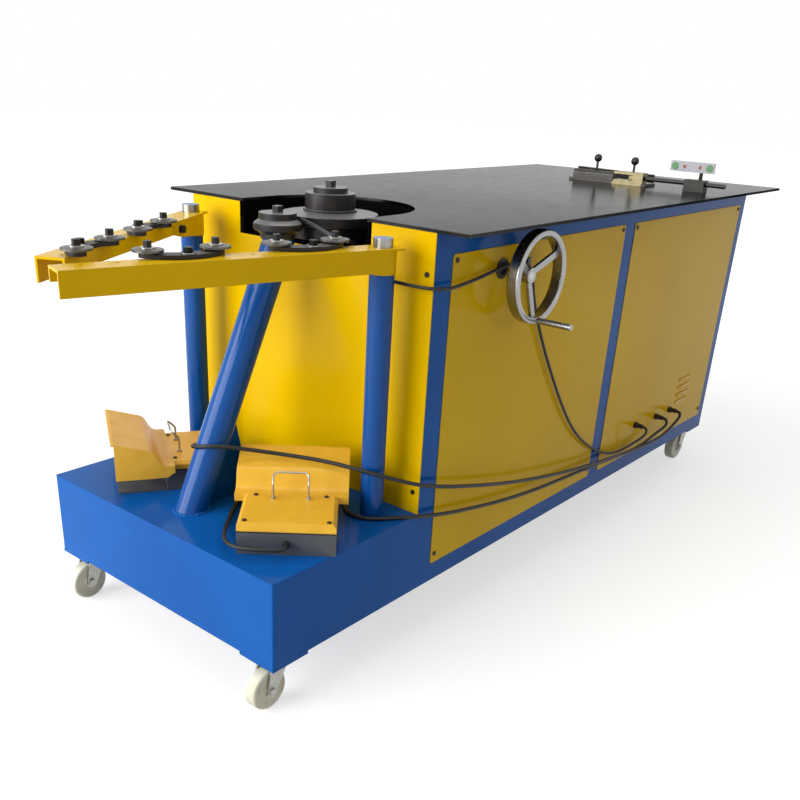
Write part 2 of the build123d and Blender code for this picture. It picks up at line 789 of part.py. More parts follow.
# Small die: an idle roll with a rounded forming ridge, a cap and a bolt
small_die_bore = small_pin_radius + running_clearance
ridge_bottom = small_die_ridge - small_die_ridge_thick / 2
ridge_top = small_die_ridge + small_die_ridge_thick / 2
cone_bottom = ridge_bottom - small_die_cone
with BuildPart() as small_die:
    with BuildSketch(upright_plane(small_die_x, mid_y)):
        with BuildLine():
            Polyline(
                (small_die_bore, small_die_bottom),
                (small_die_neck_radius, small_die_bottom),
                (small_die_neck_radius, cone_bottom),
                (small_die_radius, ridge_bottom),
                (small_die_radius, ridge_top),
                (small_cap_radius, ridge_top + small_die_cone),
                (small_cap_radius, small_die_top),
                (small_die_bore, small_die_top),
                close=True,
            )
        make_face()
    revolve(axis=Axis((small_die_x, mid_y, 0), (0, 0, 1)))
    ridge_edges = small_die.edges().filter_by(GeomType.CIRCLE).sort_by(SortBy.RADIUS)[-2:]
    fillet(ridge_edges, radius=small_die_ridge_round)
    small_cap_top = small_die_top + small_cap_thick
    z_bar(small_die_x, mid_y, small_die_top, small_cap_top, small_cap_radius)
    block((small_die_x - bolt_square / 2, mid_y - bolt_square / 2, small_cap_top),
          (small_die_x + bolt_square / 2, mid_y + bolt_square / 2, small_cap_top + bolt_height))
save(small_die.part, "small_die")

# Arm posts: tubes on the base platform with a turned pin on top
post_top = arm_top - sleeve_length - seat_gap
post_x = front_x + post_station
with BuildPart() as arm_posts:
    for post_y in (mid_y - post_offset, mid_y + post_offset):
        z_bar(post_x, post_y, base_top, post_top, post_radius)
        z_bar(post_x, post_y, base_top, post_top - post_radius, post_radius - post_wall, Mode.SUBTRACT)
        z_bar(post_x, post_y, post_top, arm_top + pin_rise, pin_radius)
save(arm_posts.part, "arm_posts")


def guide_arm(name, plane, inner, length, free_holes, pivots):
    """A folded channel with a sleeve for its post's pin, a root plate, a clamp screw and pivot bolts."""
    half = arm_width / 2
    with BuildPart() as arm:
        with BuildSketch(plane):
            with Locations(((length - arm_tail) / 2, 0)):
                Rectangle(length + arm_tail, arm_width)
        extrude(amount=-arm_thick)
        for side, depth in ((-inner, arm_outer_leg), (inner, arm_inner_leg)):
            with BuildSketch(plane):
                with Locations((length / 2, side * (half - arm_thick / 2))):
                    Rectangle(length, arm_thick)
            extrude(amount=-depth)
        with BuildSketch(along_plane(plane).offset(-inner * half)):
            with BuildLine():
                Polyline((0, 0), (root_plate_length, 0), (root_plate_length, -arm_inner_leg),
                         (root_plate_waist_station, -root_plate_waist), (0, -root_plate_depth), close=True)
            make_face()
        extrude(amount=-inner * root_plate_thick)
        with BuildSketch(plane):
            Circle(half)
        extrude(amount=-sleeve_length)
        with BuildSketch(plane):
            Circle(pin_radius + running_clearance)
            with Locations(*free_holes):
                Circle(arm_hole_radius)
        extrude(amount=-sleeve_length, mode=Mode.SUBTRACT)
        screw_root = plane.from_local_coords((clamp_station, inner * (half - arm_thick), -clamp_drop))
        with BuildSketch(Plane(origin=screw_root, z_dir=plane.y_dir * inner)):
            RegularPolygon(clamp_head_radius, 6)
        extrude(amount=arm_thick + root_plate_thick + clamp_head_length)
        pivot_top = rocker_lift + rocker_thick + loose_gap
        for level, height, radius in (
            (0, pivot_top, pivot_radius),
            (0, rocker_lift - seat_gap, pivot_spacer_radius),
            (pivot_top, washer_thick, washer_radius),
        ):
            with BuildSketch(plane.offset(level)):
                with Locations(*pivots):
                    Circle(radius)
            extrude(amount=height)
        with BuildSketch(plane.offset(pivot_top + washer_thick)):
            with Locations(*pivots):
                RegularPolygon(pivot_head_radius, 6)
        extrude(amount=pivot_head_height)
    save(arm.part, name)


def rocker(name, plane, pivot, ends):
    """A crescent bar on its pivot, with a bolt and washer at each end for the rollers."""
    bar_top = rocker_lift + rocker_thick
    head_bottom = bar_top + roller_hub_height + roller_disc_height + roller_cone_height + 2 * loose_gap
    bar_line = ThreePointArc(ends[0], pivot, ends[1])
    with BuildPart() as bar:
        with BuildSketch(plane.offset(rocker_lift)):
            SlotArc(bar_line, rocker_width)
            with Locations(pivot):
                Circle(pivot_radius + running_clearance, mode=Mode.SUBTRACT)
        extrude(amount=rocker_thick)
        for level, height, radius in (
            (bar_top, head_bottom - bar_top, roller_bolt_radius),
            (head_bottom, washer_thick, washer_radius),
        ):
            with BuildSketch(plane.offset(level)):
                with Locations(*ends):
                    Circle(radius)
            extrude(amount=height)
        with BuildSketch(plane.offset(head_bottom + washer_thick)):
            with Locations(*ends):
                RegularPolygon(roller_head_radius, 6)
        extrude(amount=roller_head_height)
    save(bar.part, name)


def roller(name, plane, place):
    """A guide roller: hub, disc and a shallow cone, bored for its bolt."""
    bottom = rocker_lift + rocker_thick + loose_gap
    disc_bottom = bottom + roller_hub_height
    disc_top = disc_bottom + roller_disc_height
    top = disc_top + roller_cone_height
    bore = roller_bolt_radius + running_clearance
    centre = plane.from_local_coords((*place, 0))
    with BuildPart() as piece:
        with BuildSketch(Plane(origin=centre, x_dir=(1, 0, 0), z_dir=(0, -1, 0))):
            with BuildLine():
                Polyline((bore, bottom), (roller_hub_radius, bottom), (roller_hub_radius, disc_bottom),
                         (roller_disc_radius, disc_bottom), (roller_disc_radius, disc_top),
                         (roller_cone_radius, top), (bore, top), close=True)
            make_face()
        revolve(axis=Axis(centre, (0, 0, 1)))
    save(piece.part, name)


right_plane = heading_plane(post_x, mid_y - post_offset, arm_top, right_arm_angle)
left_plane = heading_plane(post_x, mid_y + post_offset, arm_top, left_arm_angle)
for arm_side, arm_plane, inner, arm_length, hole_first, rocker_holes in (
    ("right", right_plane, -1, right_arm_length, right_hole_first, right_rocker_holes),
    ("left", left_plane, 1, left_arm_length, left_hole_first, left_rocker_holes),
):
    hole_row = [(hole_first + index * arm_hole_pitch, inner * arm_hole_shift)
                for index in range(arm_hole_count)]
    pivot_places = [hole_row[index] for index in rocker_holes]
    spare_holes = [place for place in hole_row if place not in pivot_places]
    guide_arm(f"arm_{arm_side}", arm_plane, inner, arm_length, spare_holes, pivot_places)
    for place_name, (along, across) in zip(("rear", "front"), pivot_places):
        end_across = across + inner * rocker_rise
        end_places = [(along - rocker_half_span, end_across), (along + rocker_half_span, end_across)]
        rocker(f"rocker_{arm_side}_{place_name}", arm_plane, (along, across), end_places)
        for end_name, end_place in zip(("a", "b"), end_places):
            roller(f"roller_{arm_side}_{place_name}_{end_name}", arm_plane, end_place)

# Handwheel: a band for a rim, three flat spokes that slant back to the hub, and a pin for the grip
wheel_centre = Vector(wheel_x, wheel_y, wheel_height)
hub_face = wheel_y + hub_setback
hub_rear = hub_face + hub_length
pin_z = wheel_height - rim_radius
grip_end = wheel_y - grip_reach
spoke_root = (shaft_radius + hub_radius) / 2
spoke_start = hub_setback + spoke_thick / 2
with BuildPart() as handwheel:
    with BuildSketch(Plane(origin=wheel_centre)):
        with Locations((rim_radius, 0)):
            RectangleRounded(rim_width, rim_depth, rim_round)
    revolve(axis=Axis(wheel_centre, (0, 1, 0)))
    y_bar(wheel_x, wheel_height, hub_rear, hub_face, hub_radius)
    for index in range(spoke_count):
        spoke_angle = 2 * pi * index / spoke_count - pi / 2
        spoke_way = (cos(spoke_angle), 0, sin(spoke_angle))
        spoke_side = (-sin(spoke_angle), 0, cos(spoke_angle))
        with BuildSketch(Plane(origin=wheel_centre, x_dir=spoke_way, z_dir=spoke_side)):
            with BuildLine():
                Polyline((spoke_root, spoke_start), (spoke_root, spoke_start + spoke_thick),
                         (rim_radius, spoke_thick / 2), (rim_radius, -spoke_thick / 2), close=True)
            make_face()
        extrude(amount=spoke_width / 2, both=True)
    y_bar(wheel_x, pin_z, wheel_y, grip_end + grip_wall_end, grip_pin_radius)
    y_bar(wheel_x, wheel_height, hub_rear, hub_face, shaft_radius, Mode.SUBTRACT)
save(handwheel.part, "handwheel")

# Grip that turns on the pin
grip_start = wheel_y - rim_depth / 2 - loose_gap
grip_bore_end = grip_end + grip_wall_end - loose_gap
with BuildPart() as handwheel_grip:
    y_bar(wheel_x, pin_z, grip_start, grip_end, grip_radius)
    fillet(handwheel_grip.edges().group_by(Axis.Y)[0], radius=grip_round)
    y_bar(wheel_x, pin_z, grip_start, grip_bore_end, grip_pin_radius + running_clearance, Mode.SUBTRACT)
save(handwheel_grip.part, "handwheel_grip")

# Shaft of the handwheel and the lead screw, joined by plain bevel cones at right angles
bevel_outer = bevel_inner + bevel_face
bevel_small = bevel_inner - loose_gap
bevel_large = bevel_outer - loose_gap
with BuildPart() as handwheel_shaft:
    y_bar(wheel_x, wheel_height, hub_face, mid_y - bevel_inner, shaft_radius)
    with Locations(Plane(origin=(wheel_x, mid_y - bevel_outer, wheel_height), z_dir=(0, 1, 0)).location):
        Cone(bevel_large, bevel_small, bevel_face, align=(Align.CENTER, Align.CENTER, Align.MIN))
save(handwheel_shaft.part, "handwheel_shaft")

with BuildPart() as lead_screw:
    x_bar(mid_y, wheel_height, nut_x - screw_front_gap, bracket_end + screw_tail, shaft_radius)
    with Locations(Plane(origin=(wheel_x + bevel_inner, mid_y, wheel_height), z_dir=(1, 0, 0)).location):
        Cone(bevel_small, bevel_large, bevel_face, align=(Align.CENTER, Align.CENTER, Align.MIN))
save(lead_screw.part, "lead_screw")

# Casters at the four corners
caster_inset = caster_plate / 2
fork_top = rail_z - caster_plate_thick - loose_gap
fork_under = fork_top - fork_thick
caster_places = {
    "front_near": (base_front + caster_inset, near_y + caster_inset),
    "front_far": (base_front + caster_inset, far_y - caster_inset),
    "rear_near": (rear_x - caster_inset, near_y + caster_inset),
    "rear_far": (rear_x - caster_inset, far_y - caster_inset),
}
with BuildPart() as caster_plates:
    for caster_x, caster_y in caster_places.values():
        block((caster_x - caster_inset, caster_y - caster_inset, rail_z - caster_plate_thick),
              (caster_x + caster_inset, caster_y + caster_inset, rail_z))
        pin_end = fork_under - loose_gap
        z_bar(caster_x, caster_y, rail_z, pin_end, kingpin_radius)
        z_bar(caster_x, caster_y, pin_end, pin_end - kingpin_head_height, kingpin_head_radius)
save(caster_plates.part, "caster_plates")

leg_inner = caster_hub_width / 2 + loose_gap
for caster_name, (caster_x, caster_y) in caster_places.items():
    axle_x = caster_x - caster_trail
    with BuildPart() as caster_fork:
        z_bar(caster_x, caster_y, fork_under, fork_top, fork_disc_radius)
        for side in (-1, 1):
            leg_y = caster_y + side * (leg_inner + fork_thick / 2)
            with BuildSketch(Plane(origin=(0, leg_y, 0), x_dir=(1, 0, 0), z_dir=(0, -1, 0))):
                with Locations((axle_x, wheel_radius)):
                    Circle(fork_eye_radius)
                with Locations((caster_x, (fork_under + fork_top) / 2)):
                    Rectangle(fork_leg_width, fork_thick)
                make_hull()
            extrude(amount=fork_thick / 2, both=True)
            head_end = leg_y + side * (fork_thick / 2 + axle_head_length)
            y_bar(axle_x, wheel_radius, leg_y, head_end, axle_head_radius)
        y_bar(axle_x, wheel_radius, caster_y - leg_inner, caster_y + leg_inner, axle_radius)
        z_bar(caster_x, caster_y, fork_under, fork_top, kingpin_radius + running_clearance, Mode.SUBTRACT)
    save(caster_fork.part, f"caster_fork_{caster_name}")

    with BuildPart() as caster_wheel:
        y_bar(axle_x, wheel_radius, caster_y - tread_width / 2, caster_y + tread_width / 2, wheel_radius)
        fillet(caster_wheel.edges().filter_by(GeomType.CIRCLE), radius=tread_round)
        hub_start = caster_y - caster_hub_width / 2
        hub_end = caster_y + caster_hub_width / 2
        y_bar(axle_x, wheel_radius, hub_start, hub_end, caster_hub_radius)
        y_bar(axle_x, wheel_radius, hub_start, hub_end, axle_radius + running_clearance, Mode.SUBTRACT)
    save(caster_wheel.part, f"caster_wheel_{caster_name}")

# Foot switches: a box with a low tray, a lid that runs into a hood, a wire handle and a sprung treadle
near_pedal_plane = heading_plane(front_x + near_pedal_station, mid_y + near_pedal_offset, base_top,
                                 radians(near_pedal_heading))
far_pedal_plane = heading_plane(front_x + far_pedal_station, mid_y + far_pedal_offset, base_top,
                                radians(far_pedal_heading))
pedal_planes = {"near": near_pedal_plane, "far": far_pedal_plane}


ear_half = treadle_width / 2 + ear_gap
with BuildPart() as pedal_bases:
    for plane in pedal_planes.values():
        with BuildSketch(plane):
            with Locations((pedal_length / 2, 0)):
                Rectangle(pedal_length, pedal_width)
        extrude(amount=pedal_tray_height)
        with BuildSketch(plane):
            with Locations((pedal_box_length / 2, 0)):
                Rectangle(pedal_box_length, pedal_width)
        extrude(amount=pedal_box_height)
        with BuildSketch(plane.offset(pedal_wall)):
            with Locations((pedal_box_length / 2, 0)):
                Rectangle(pedal_box_length - 2 * pedal_wall, pedal_width - 2 * pedal_wall)
        extrude(amount=pedal_box_height, mode=Mode.SUBTRACT)
        for side in (-1, 1):
            with BuildSketch(plane):
                with Locations((treadle_station, side * (ear_half + ear_width / 2))):
                    Rectangle(ear_length, ear_width)
            extrude(amount=treadle_level + treadle_barrel_radius)
        with BuildSketch(along_plane(plane)):
            with Locations((treadle_station, treadle_level)):
                Circle(treadle_pin_radius)
        extrude(amount=ear_half, both=True)
        cable_hole = plane.from_local_coords((0, 0, pedal_box_height / 2))
        with BuildSketch(Plane(origin=cable_hole, z_dir=plane.x_dir)):
            Circle(gland_radius)
        extrude(amount=pedal_wall, mode=Mode.SUBTRACT)
save(pedal_bases.part, "pedal_bases")

cover_bottom = pedal_box_height + seat_gap
skirt_bottom = cover_bottom - hood_drop
hood_slope = (hood_height - hood_shoulder_height) / (hood_end - hood_shoulder)
inner_start = hood_start + pedal_wall
inner_step = hood_step + pedal_wall
inner_shoulder = hood_shoulder + pedal_wall
inner_lid = lid_height - pedal_wall
inner_shoulder_height = hood_shoulder_height - pedal_wall + hood_slope * pedal_wall
cavity_start = lid_bevel + pedal_wall
with BuildPart() as pedal_covers:
    for plane in pedal_planes.values():
        with BuildSketch(along_plane(plane)):
            with BuildLine():
                Polyline(
                    (0, cover_bottom),
                    (0, cover_bottom + lid_edge),
                    (lid_bevel, lid_height),
                    (inner_start, lid_height),
                    (inner_start, cover_bottom),
                    close=True,
                )
            make_face()
        extrude(amount=pedal_width / 2, both=True)
        for side in (-1, 1):
            edge_middle = plane.from_local_coords((hood_start / 2, side * pedal_width / 2, lid_height))
            chamfer(pedal_covers.edges().sort_by_distance(edge_middle)[0], length=lid_chamfer)
        with BuildSketch(along_plane(plane)):
            with BuildLine():
                Polyline((hood_end, hood_height), (hood_end, skirt_bottom),
                         (hood_start + hood_corner, skirt_bottom), (inner_start, cover_bottom),
                         (hood_start, cover_bottom), (hood_start, lid_height), (hood_step, lid_height))
                Spline((hood_step, lid_height), (hood_shoulder, hood_shoulder_height),
                       tangents=((1, 0), (1, hood_slope)))
                Line((hood_shoulder, hood_shoulder_height), (hood_end, hood_height))
            make_face()
        extrude(amount=hood_width / 2, both=True)
        with BuildSketch(along_plane(plane)):
            with BuildLine():
                Polyline((hood_end, hood_height - pedal_wall), (hood_end, skirt_bottom),
                         (inner_start, skirt_bottom), (inner_start, inner_lid), (inner_step, inner_lid))
                Spline((inner_step, inner_lid), (inner_shoulder, inner_shoulder_height),
                       tangents=((1, 0), (1, hood_slope)))
                Line((inner_shoulder, inner_shoulder_height), (hood_end, hood_height - pedal_wall))
            make_face()
        extrude(amount=hood_width / 2 - pedal_wall, both=True, mode=Mode.SUBTRACT)
        with BuildSketch(along_plane(plane)):
            with Locations((hood_end + hood_lip / 2, hood_height - pedal_wall / 2)):
                Rectangle(hood_lip, pedal_wall)
        extrude(amount=hood_width / 2, both=True)
        with BuildSketch(plane.offset(cover_bottom)):
            with Locations(((hood_start + cavity_start) / 2, 0)):
                Rectangle(hood_start - cavity_start, pedal_width - 4 * pedal_wall)
        extrude(amount=inner_lid - cover_bottom, mode=Mode.SUBTRACT)
        for screw_station, screw_span in (
            (lid_rear_screw_station, lid_rear_screw_span),
            (lid_front_screw_station, lid_front_screw_span),
        ):
            with BuildSketch(plane.offset(lid_height)):
                with Locations((screw_station, -screw_span / 2), (screw_station, screw_span / 2)):
                    Circle(lid_screw_radius)
            extrude(amount=lid_screw_height)
save(pedal_covers.part, "pedal_covers")

# Wire handles: two upright legs with a nut at the foot, and a loop that leans to the hood
half_span = handle_span / 2
bend_level = lid_height + handle_leg
loop_station = handle_station + handle_lean
loop_level = bend_level + handle_lean
wire_points = (
    (handle_station, -half_span, lid_height), (handle_station, -half_span, bend_level),
    (loop_station, -half_span, loop_level), (loop_station, half_span, loop_level),
    (handle_station, half_span, bend_level), (handle_station, half_span, lid_height),
)
with BuildPart() as pedal_handles:
    for plane in pedal_planes.values():
        with BuildLine():
            FilletPolyline(*[plane.from_local_coords(point) for point in wire_points], radius=handle_bend)
        with BuildSketch(plane.offset(lid_height)):
            with Locations((handle_station, -half_span)):
                Circle(handle_wire_radius)
        sweep()
        with BuildSketch(plane.offset(lid_height)):
            with Locations((handle_station, -half_span), (handle_station, half_span)):
                RegularPolygon(handle_nut_radius, 6)
        extrude(amount=handle_nut_height)
save(pedal_handles.part, "pedal_handles")

for pedal_name, plane in pedal_planes.items():
    hinge = plane.from_local_coords((treadle_station, 0, treadle_level))
    slope = plane.x_dir * cos(radians(treadle_tilt)) + Vector(0, 0, sin(radians(treadle_tilt)))
    tread_plane = Plane(origin=hinge, x_dir=slope, z_dir=-plane.y_dir)
    with BuildPart() as treadle:
        with BuildSketch(tread_plane):
            Circle(treadle_barrel_radius)
            with Locations((treadle_length / 2, 0)):
                Rectangle(treadle_length, treadle_thick)
            Circle(treadle_pin_radius + running_clearance, mode=Mode.SUBTRACT)
        extrude(amount=treadle_width / 2, both=True)
    save(treadle.part, f"treadle_{pedal_name}")

# Gauge on the rear of the table: foot, barrel and clevis, with ears for the clamp levers and two lock knobs
gauge_x = front_x + gauge_station
rod_x = gauge_x - gauge_rod_setback
gauge_rod_level = table_height + gauge_rod_rise
gauge_plate_bottom = gauge_rod_level + gauge_plate_rise
lever_ball_level = gauge_rod_level + lever_ball_rise
foot_top = table_height + gauge_foot_thick
cheek_inner = lever_hub_length / 2 + loose_gap
with BuildPart() as gauge_base:
    block((rod_x - gauge_foot_margin, mid_y + gauge_foot_near, table_height),
          (gauge_x + gauge_foot_margin, mid_y + gauge_foot_far, foot_top))
    block((rod_x - barrel_radius, mid_y + barrel_near, foot_top),
          (rod_x + barrel_radius, mid_y + barrel_far, gauge_rod_level))
    y_bar(rod_x, gauge_rod_level, mid_y + barrel_near, mid_y + barrel_far, barrel_radius)
    block((rod_x - clevis_width / 2, mid_y + clevis_near, foot_top),
          (rod_x + clevis_width / 2, mid_y + clevis_far, gauge_rod_level + clevis_height / 2))
    slot_start = mid_y + clevis_far - clevis_slot_length
    block((rod_x - clevis_width / 2, slot_start, gauge_rod_level - clevis_slot / 2),
          (rod_x + clevis_width / 2, mid_y + clevis_far, gauge_rod_level + clevis_slot / 2),
          mode=Mode.SUBTRACT)
    for offset in (far_lever_offset, near_lever_offset):
        lever_y = mid_y + offset
        for side in (-1, 1):
            cheek = sorted((gauge_x + side * cheek_inner, gauge_x + side * (cheek_inner + lever_cheek)))
            block((cheek[0], lever_y - lever_hub_radius, foot_top),
                  (cheek[1], lever_y + lever_hub_radius, gauge_rod_level + lever_pin_radius))
        pin_half = cheek_inner + lever_cheek
        x_bar(lever_y, gauge_rod_level, gauge_x - pin_half, gauge_x + pin_half, lever_pin_radius)
    for offset in (far_knob_offset, near_knob_offset):
        z_bar(gauge_x, mid_y + offset, foot_top, gauge_rod_level + knob_height, knob_radius)
save(gauge_base.part, "gauge_base")

# Rod of the gauge and the loose bar behind it
bar_start = Vector(front_x + rear_bar_near_station, mid_y + rear_bar_near_offset, table_height)
bar_end = Vector(front_x + rear_bar_far_station, mid_y + rear_bar_far_offset, table_height)
bar_run = bar_end - bar_start
with BuildPart() as gauge_rod:
    y_bar(rod_x, gauge_rod_level, mid_y + clevis_near, mid_y + gauge_rod_near, gauge_rod_radius)
    with BuildSketch(Plane(origin=(bar_start + bar_end) * 0.5, x_dir=bar_run, z_dir=(0, 0, 1))):
        Rectangle(bar_run.length, rear_bar_width)
    extrude(amount=rear_bar_height)
save(gauge_rod.part, "gauge_rod")

# Slide on the rod: block, post and the gauge plate with a round mark at each end
slide_top = gauge_rod_level + slide_block_rise
plate_top = gauge_plate_bottom + gauge_plate_height
plate_mid = gauge_plate_bottom + gauge_plate_height / 2
post_shift = slide_block_width / 2 - slide_post_radius
with BuildPart() as gauge_slide:
    block((rod_x - slide_block_width / 2, mid_y + slide_block_near, table_height + seat_gap),
          (rod_x + slide_block_width / 2, mid_y + slide_block_far, slide_top))
    z_bar(rod_x + post_shift, mid_y + slide_post_offset, slide_top, plate_mid, slide_post_radius)
    plate_front = rod_x + post_shift - slide_post_radius
    block((plate_front, mid_y + gauge_plate_near, gauge_plate_bottom),
          (plate_front + gauge_plate_thick, mid_y + gauge_plate_far, plate_top))
    for mark_y in (gauge_plate_near + gauge_plate_height / 2, gauge_plate_far - gauge_plate_height / 2):
        x_bar(mid_y + mark_y, plate_mid, plate_front, plate_front - gauge_dot_thick, gauge_dot_radius)
    y_bar(rod_x, gauge_rod_level, mid_y + slide_block_near, mid_y + slide_block_far,
          gauge_rod_radius + running_clearance, Mode.SUBTRACT)
save(gauge_slide.part, "gauge_slide")

# Clamp levers with a round knob, turning on pins between the gauge's ears
lever_start = gauge_x - lever_hub_length / 2
lever_end = gauge_x + lever_hub_length / 2
for lever_name, offset in (("far", far_lever_offset), ("near", near_lever_offset)):
    lever_y = mid_y + offset
    with BuildPart() as clamp_lever:
        x_bar(lever_y, gauge_rod_level, lever_start, lever_end, lever_hub_radius)
        z_bar(gauge_x, lever_y, gauge_rod_level, lever_ball_level, lever_rod_radius)
        with Locations((gauge_x, lever_y, lever_ball_level)):
            Sphere(lever_ball_radius)
        x_bar(lever_y, gauge_rod_level, lever_start, lever_end, lever_pin_radius + running_clearance,
              Mode.SUBTRACT)
    save(clamp_lever.part, f"clamp_lever_{lever_name}")

# Electric box on the straps inside the stand: a sheet shell with a hole for each cable
box_x = front_x + (front_strap_station + rear_strap_station) / 2
box_near = mid_y - box_width / 2
box_bottom = rail_z + angle_thick
with BuildPart() as electric_box:
    with Locations((box_x, mid_y, box_bottom + box_height / 2)):
        Box(box_length, box_width, box_height)
        Box(box_length - 2 * box_wall, box_width - 2 * box_wall, box_height - 2 * box_wall,
            mode=Mode.SUBTRACT)
    for shift in (-box_hole_pitch, 0, box_hole_pitch):
        y_bar(box_x + shift, box_bottom + box_height / 2, box_near, box_near + box_wall, gland_radius,
              Mode.SUBTRACT)
save(electric_box.part, "electric_box")

# Cable glands, grommets in the panels, a clip behind the handwheel and the foot switches' strain reliefs
with BuildPart() as cable_glands:
    for gland_x, gland_z in gland_places:
        with BuildSketch(Plane(origin=(gland_x, panel_face, gland_z), x_dir=(1, 0, 0), z_dir=(0, -1, 0))):
            RegularPolygon(gland_nut_radius, 6)
        extrude(amount=gland_nut_length)
        y_bar(gland_x, gland_z, near_y, panel_face - gland_length, gland_radius)
    grommet_face = panel_face - grommet_lift
    y_bar(grommet_x, grommet_height, near_y, panel_face, grommet_radius)
    y_bar(grommet_x, grommet_height, panel_face, grommet_face, grommet_radius + grommet_lip)
    y_bar(grommet_x, grommet_height, near_y - panel_thick / 2, grommet_face, grommet_radius - grommet_lip,
          Mode.SUBTRACT)
    exit_x = front_x - panel_thick - relief_length
    x_bar(grommet_y, front_grommet_height, front_x, exit_x, gland_radius)
    clip_x = front_x + clip_station
    clip_height = table_height - clip_drop
    block((clip_x - clip_size / 2, panel_face - clip_lift, clip_height - clip_size / 2),
          (clip_x + clip_size / 2, panel_face, clip_height + clip_size / 2))
    for plane in pedal_planes.values():
        cable_hole = plane.from_local_coords((0, 0, pedal_box_height / 2))
        with BuildSketch(Plane(origin=cable_hole, z_dir=-plane.x_dir)):
            Circle(gland_radius)
        extrude(amount=relief_length)
save(cable_glands.part, "cable_glands")


def cable(name, points, diameter):
    """A cable along straight runs joined by arcs as large as the runs allow."""
    route = [Vector(front_x + x, mid_y + y, z) for x, y, z in points]
    runs = [b - a for a, b in zip(route, route[1:])]
    radii = []
    for before, after in zip(runs, runs[1:]):
        half_turn = radians(before.get_angle(after)) / 2
        radii.append(bend_share * min(before.length, after.length) / tan(half_turn))
    with BuildPart() as tube:
        with BuildLine() as path:
            FilletPolyline(*route, radius=radii)
        with BuildSketch(Plane(origin=path.line @ 0, z_dir=path.line % 0)):
            Circle(diameter / 2)
        sweep()
    length = path.wire().length
    fullness = tube.part.volume / (pi * diameter ** 2 / 4 * length)
    print(name, "length", round(length), "volume over section times length", round(fullness, 4))
    print(name, "smallest radius", round(min(radii), 1))
    save(tube.part, name)


cable("handwheel_cable", handwheel_cable_points, handwheel_cable_diameter)
cable("near_pedal_cable", near_pedal_cable_points, pedal_cable_diameter)
cable("far_pedal_cable", far_pedal_cable_points, pedal_cable_diameter)
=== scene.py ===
import json
import math
import bmesh
import bpy
from mathutils import Matrix, Vector


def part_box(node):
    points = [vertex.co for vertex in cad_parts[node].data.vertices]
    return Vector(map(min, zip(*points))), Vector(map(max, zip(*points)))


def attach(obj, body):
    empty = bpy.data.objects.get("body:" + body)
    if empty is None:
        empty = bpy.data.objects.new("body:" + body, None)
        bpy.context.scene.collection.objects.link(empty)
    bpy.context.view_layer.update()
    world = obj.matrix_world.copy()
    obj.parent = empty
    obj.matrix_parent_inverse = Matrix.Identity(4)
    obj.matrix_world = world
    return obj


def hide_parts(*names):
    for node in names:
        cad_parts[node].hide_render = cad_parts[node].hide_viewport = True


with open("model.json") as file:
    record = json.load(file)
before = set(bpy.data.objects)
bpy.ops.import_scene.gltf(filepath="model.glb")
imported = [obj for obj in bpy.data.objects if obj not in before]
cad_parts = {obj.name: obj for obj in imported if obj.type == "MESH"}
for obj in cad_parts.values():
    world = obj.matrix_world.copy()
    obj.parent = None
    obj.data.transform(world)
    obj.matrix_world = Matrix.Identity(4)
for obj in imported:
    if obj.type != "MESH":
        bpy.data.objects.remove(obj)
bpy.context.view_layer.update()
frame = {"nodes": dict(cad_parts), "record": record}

# Places in metres: the body's front face and middle plane, the platform's top, the arms' top and half width
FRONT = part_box("panel_front")[1].x
MIDDLE = (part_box("base_platform")[0].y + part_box("base_platform")[1].y) / 2
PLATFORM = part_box("base_platform")[1].z
ARM_TOP = 0.994
ARM_HALF = 0.031
UP = Vector((0, 0, 1))
ALONG = Vector((1, 0, 0))
ASIDE = Vector((0, 1, 0))

# Levels and distances in metres where a solid's finish changes
ABOVE_ALL = 2.0
PIN_START = ARM_TOP - 0.056
SPRAY_DEPTH = 0.0003
ARM_SKIN = ARM_TOP + 0.0002
ARM_WASHER_TOP = ARM_TOP + 0.0113
CLAMP_SCREW_START = 0.0032
CLAMP_SCREW_REACH = 0.1
ROCKER_TOP = ARM_TOP + 0.0180
ROCKER_WASHER_TOP = ARM_TOP + 0.0202
GASKET_START = PLATFORM + 0.0525
GASKET_END = PLATFORM + 0.06
FINGER_START = FRONT - 0.06
FINGER_END = FRONT - 0.008
CLEVIS_NEAR = MIDDLE - 0.2022
CLEVIS_FAR = MIDDLE - 0.0938
GAUGE_PLATE_BOTTOM = 1.0938
GAUGE_BLOCK_TOP = 1.0936
MARK_FACE = FRONT + 1.4448
MARK_REACH = 0.01
DOT_RADIUS = 0.006

# Places in mm: the posts' and the column's feet, the foot switches with headings, and the gauge's plate
POST_STATION = -80
POST_OFFSET = 325
POST_RING_RADIUS = 29.5
COLUMN_STATION = -377
COLUMN_RING_HALVES = (43.0, 38.8)
FOOT_SWITCHES = ((-380, -333.5, 41.2), (-137.3, 130.3, 148.4))
LID_LEVEL = 428
LID_SCREWS = ((16, 94), (16, -94), (154, 83), (154, -83))
GAUGE_PLATE_FACE = 1445
GAUGE_PLATE_MIDDLE = 1110
DOT_OFFSETS = (-384, -331)

# Sizes in metres of the welds' beads and the lid screws' heads
POST_BEAD = 0.0040
COLUMN_BEAD = 0.0046
SCREW_RADIUS = 0.0056
SCREW_HEIGHT = 0.0027
RECESS_WIDTH = 0.0016
RECESS_DEPTH = 0.0006

# Studio: half the floor's side in metres, and the photo camera's place, angles and view in pixels
FLOOR_HALF = 30
CAMERA_PLACE = (FRONT - 1.6362, MIDDLE - 1.6159, 1.3147)
CAMERA_TURN = math.radians(-50.42)
CAMERA_RISE = math.radians(25.26)
CAMERA_ROLL = math.radians(2.65)
PICTURE_SIDE = 800
FOCAL_LENGTH = 905.19
VIEW_MIDDLE = (372.46, 510.55)
SENSOR_WIDTH = 36.0


def placed(station, offset, height):
    """Metres from mm: a station behind the body's front, an offset from its middle and a height."""
    return Vector((FRONT + station / 1000, MIDDLE + offset / 1000, height / 1000))


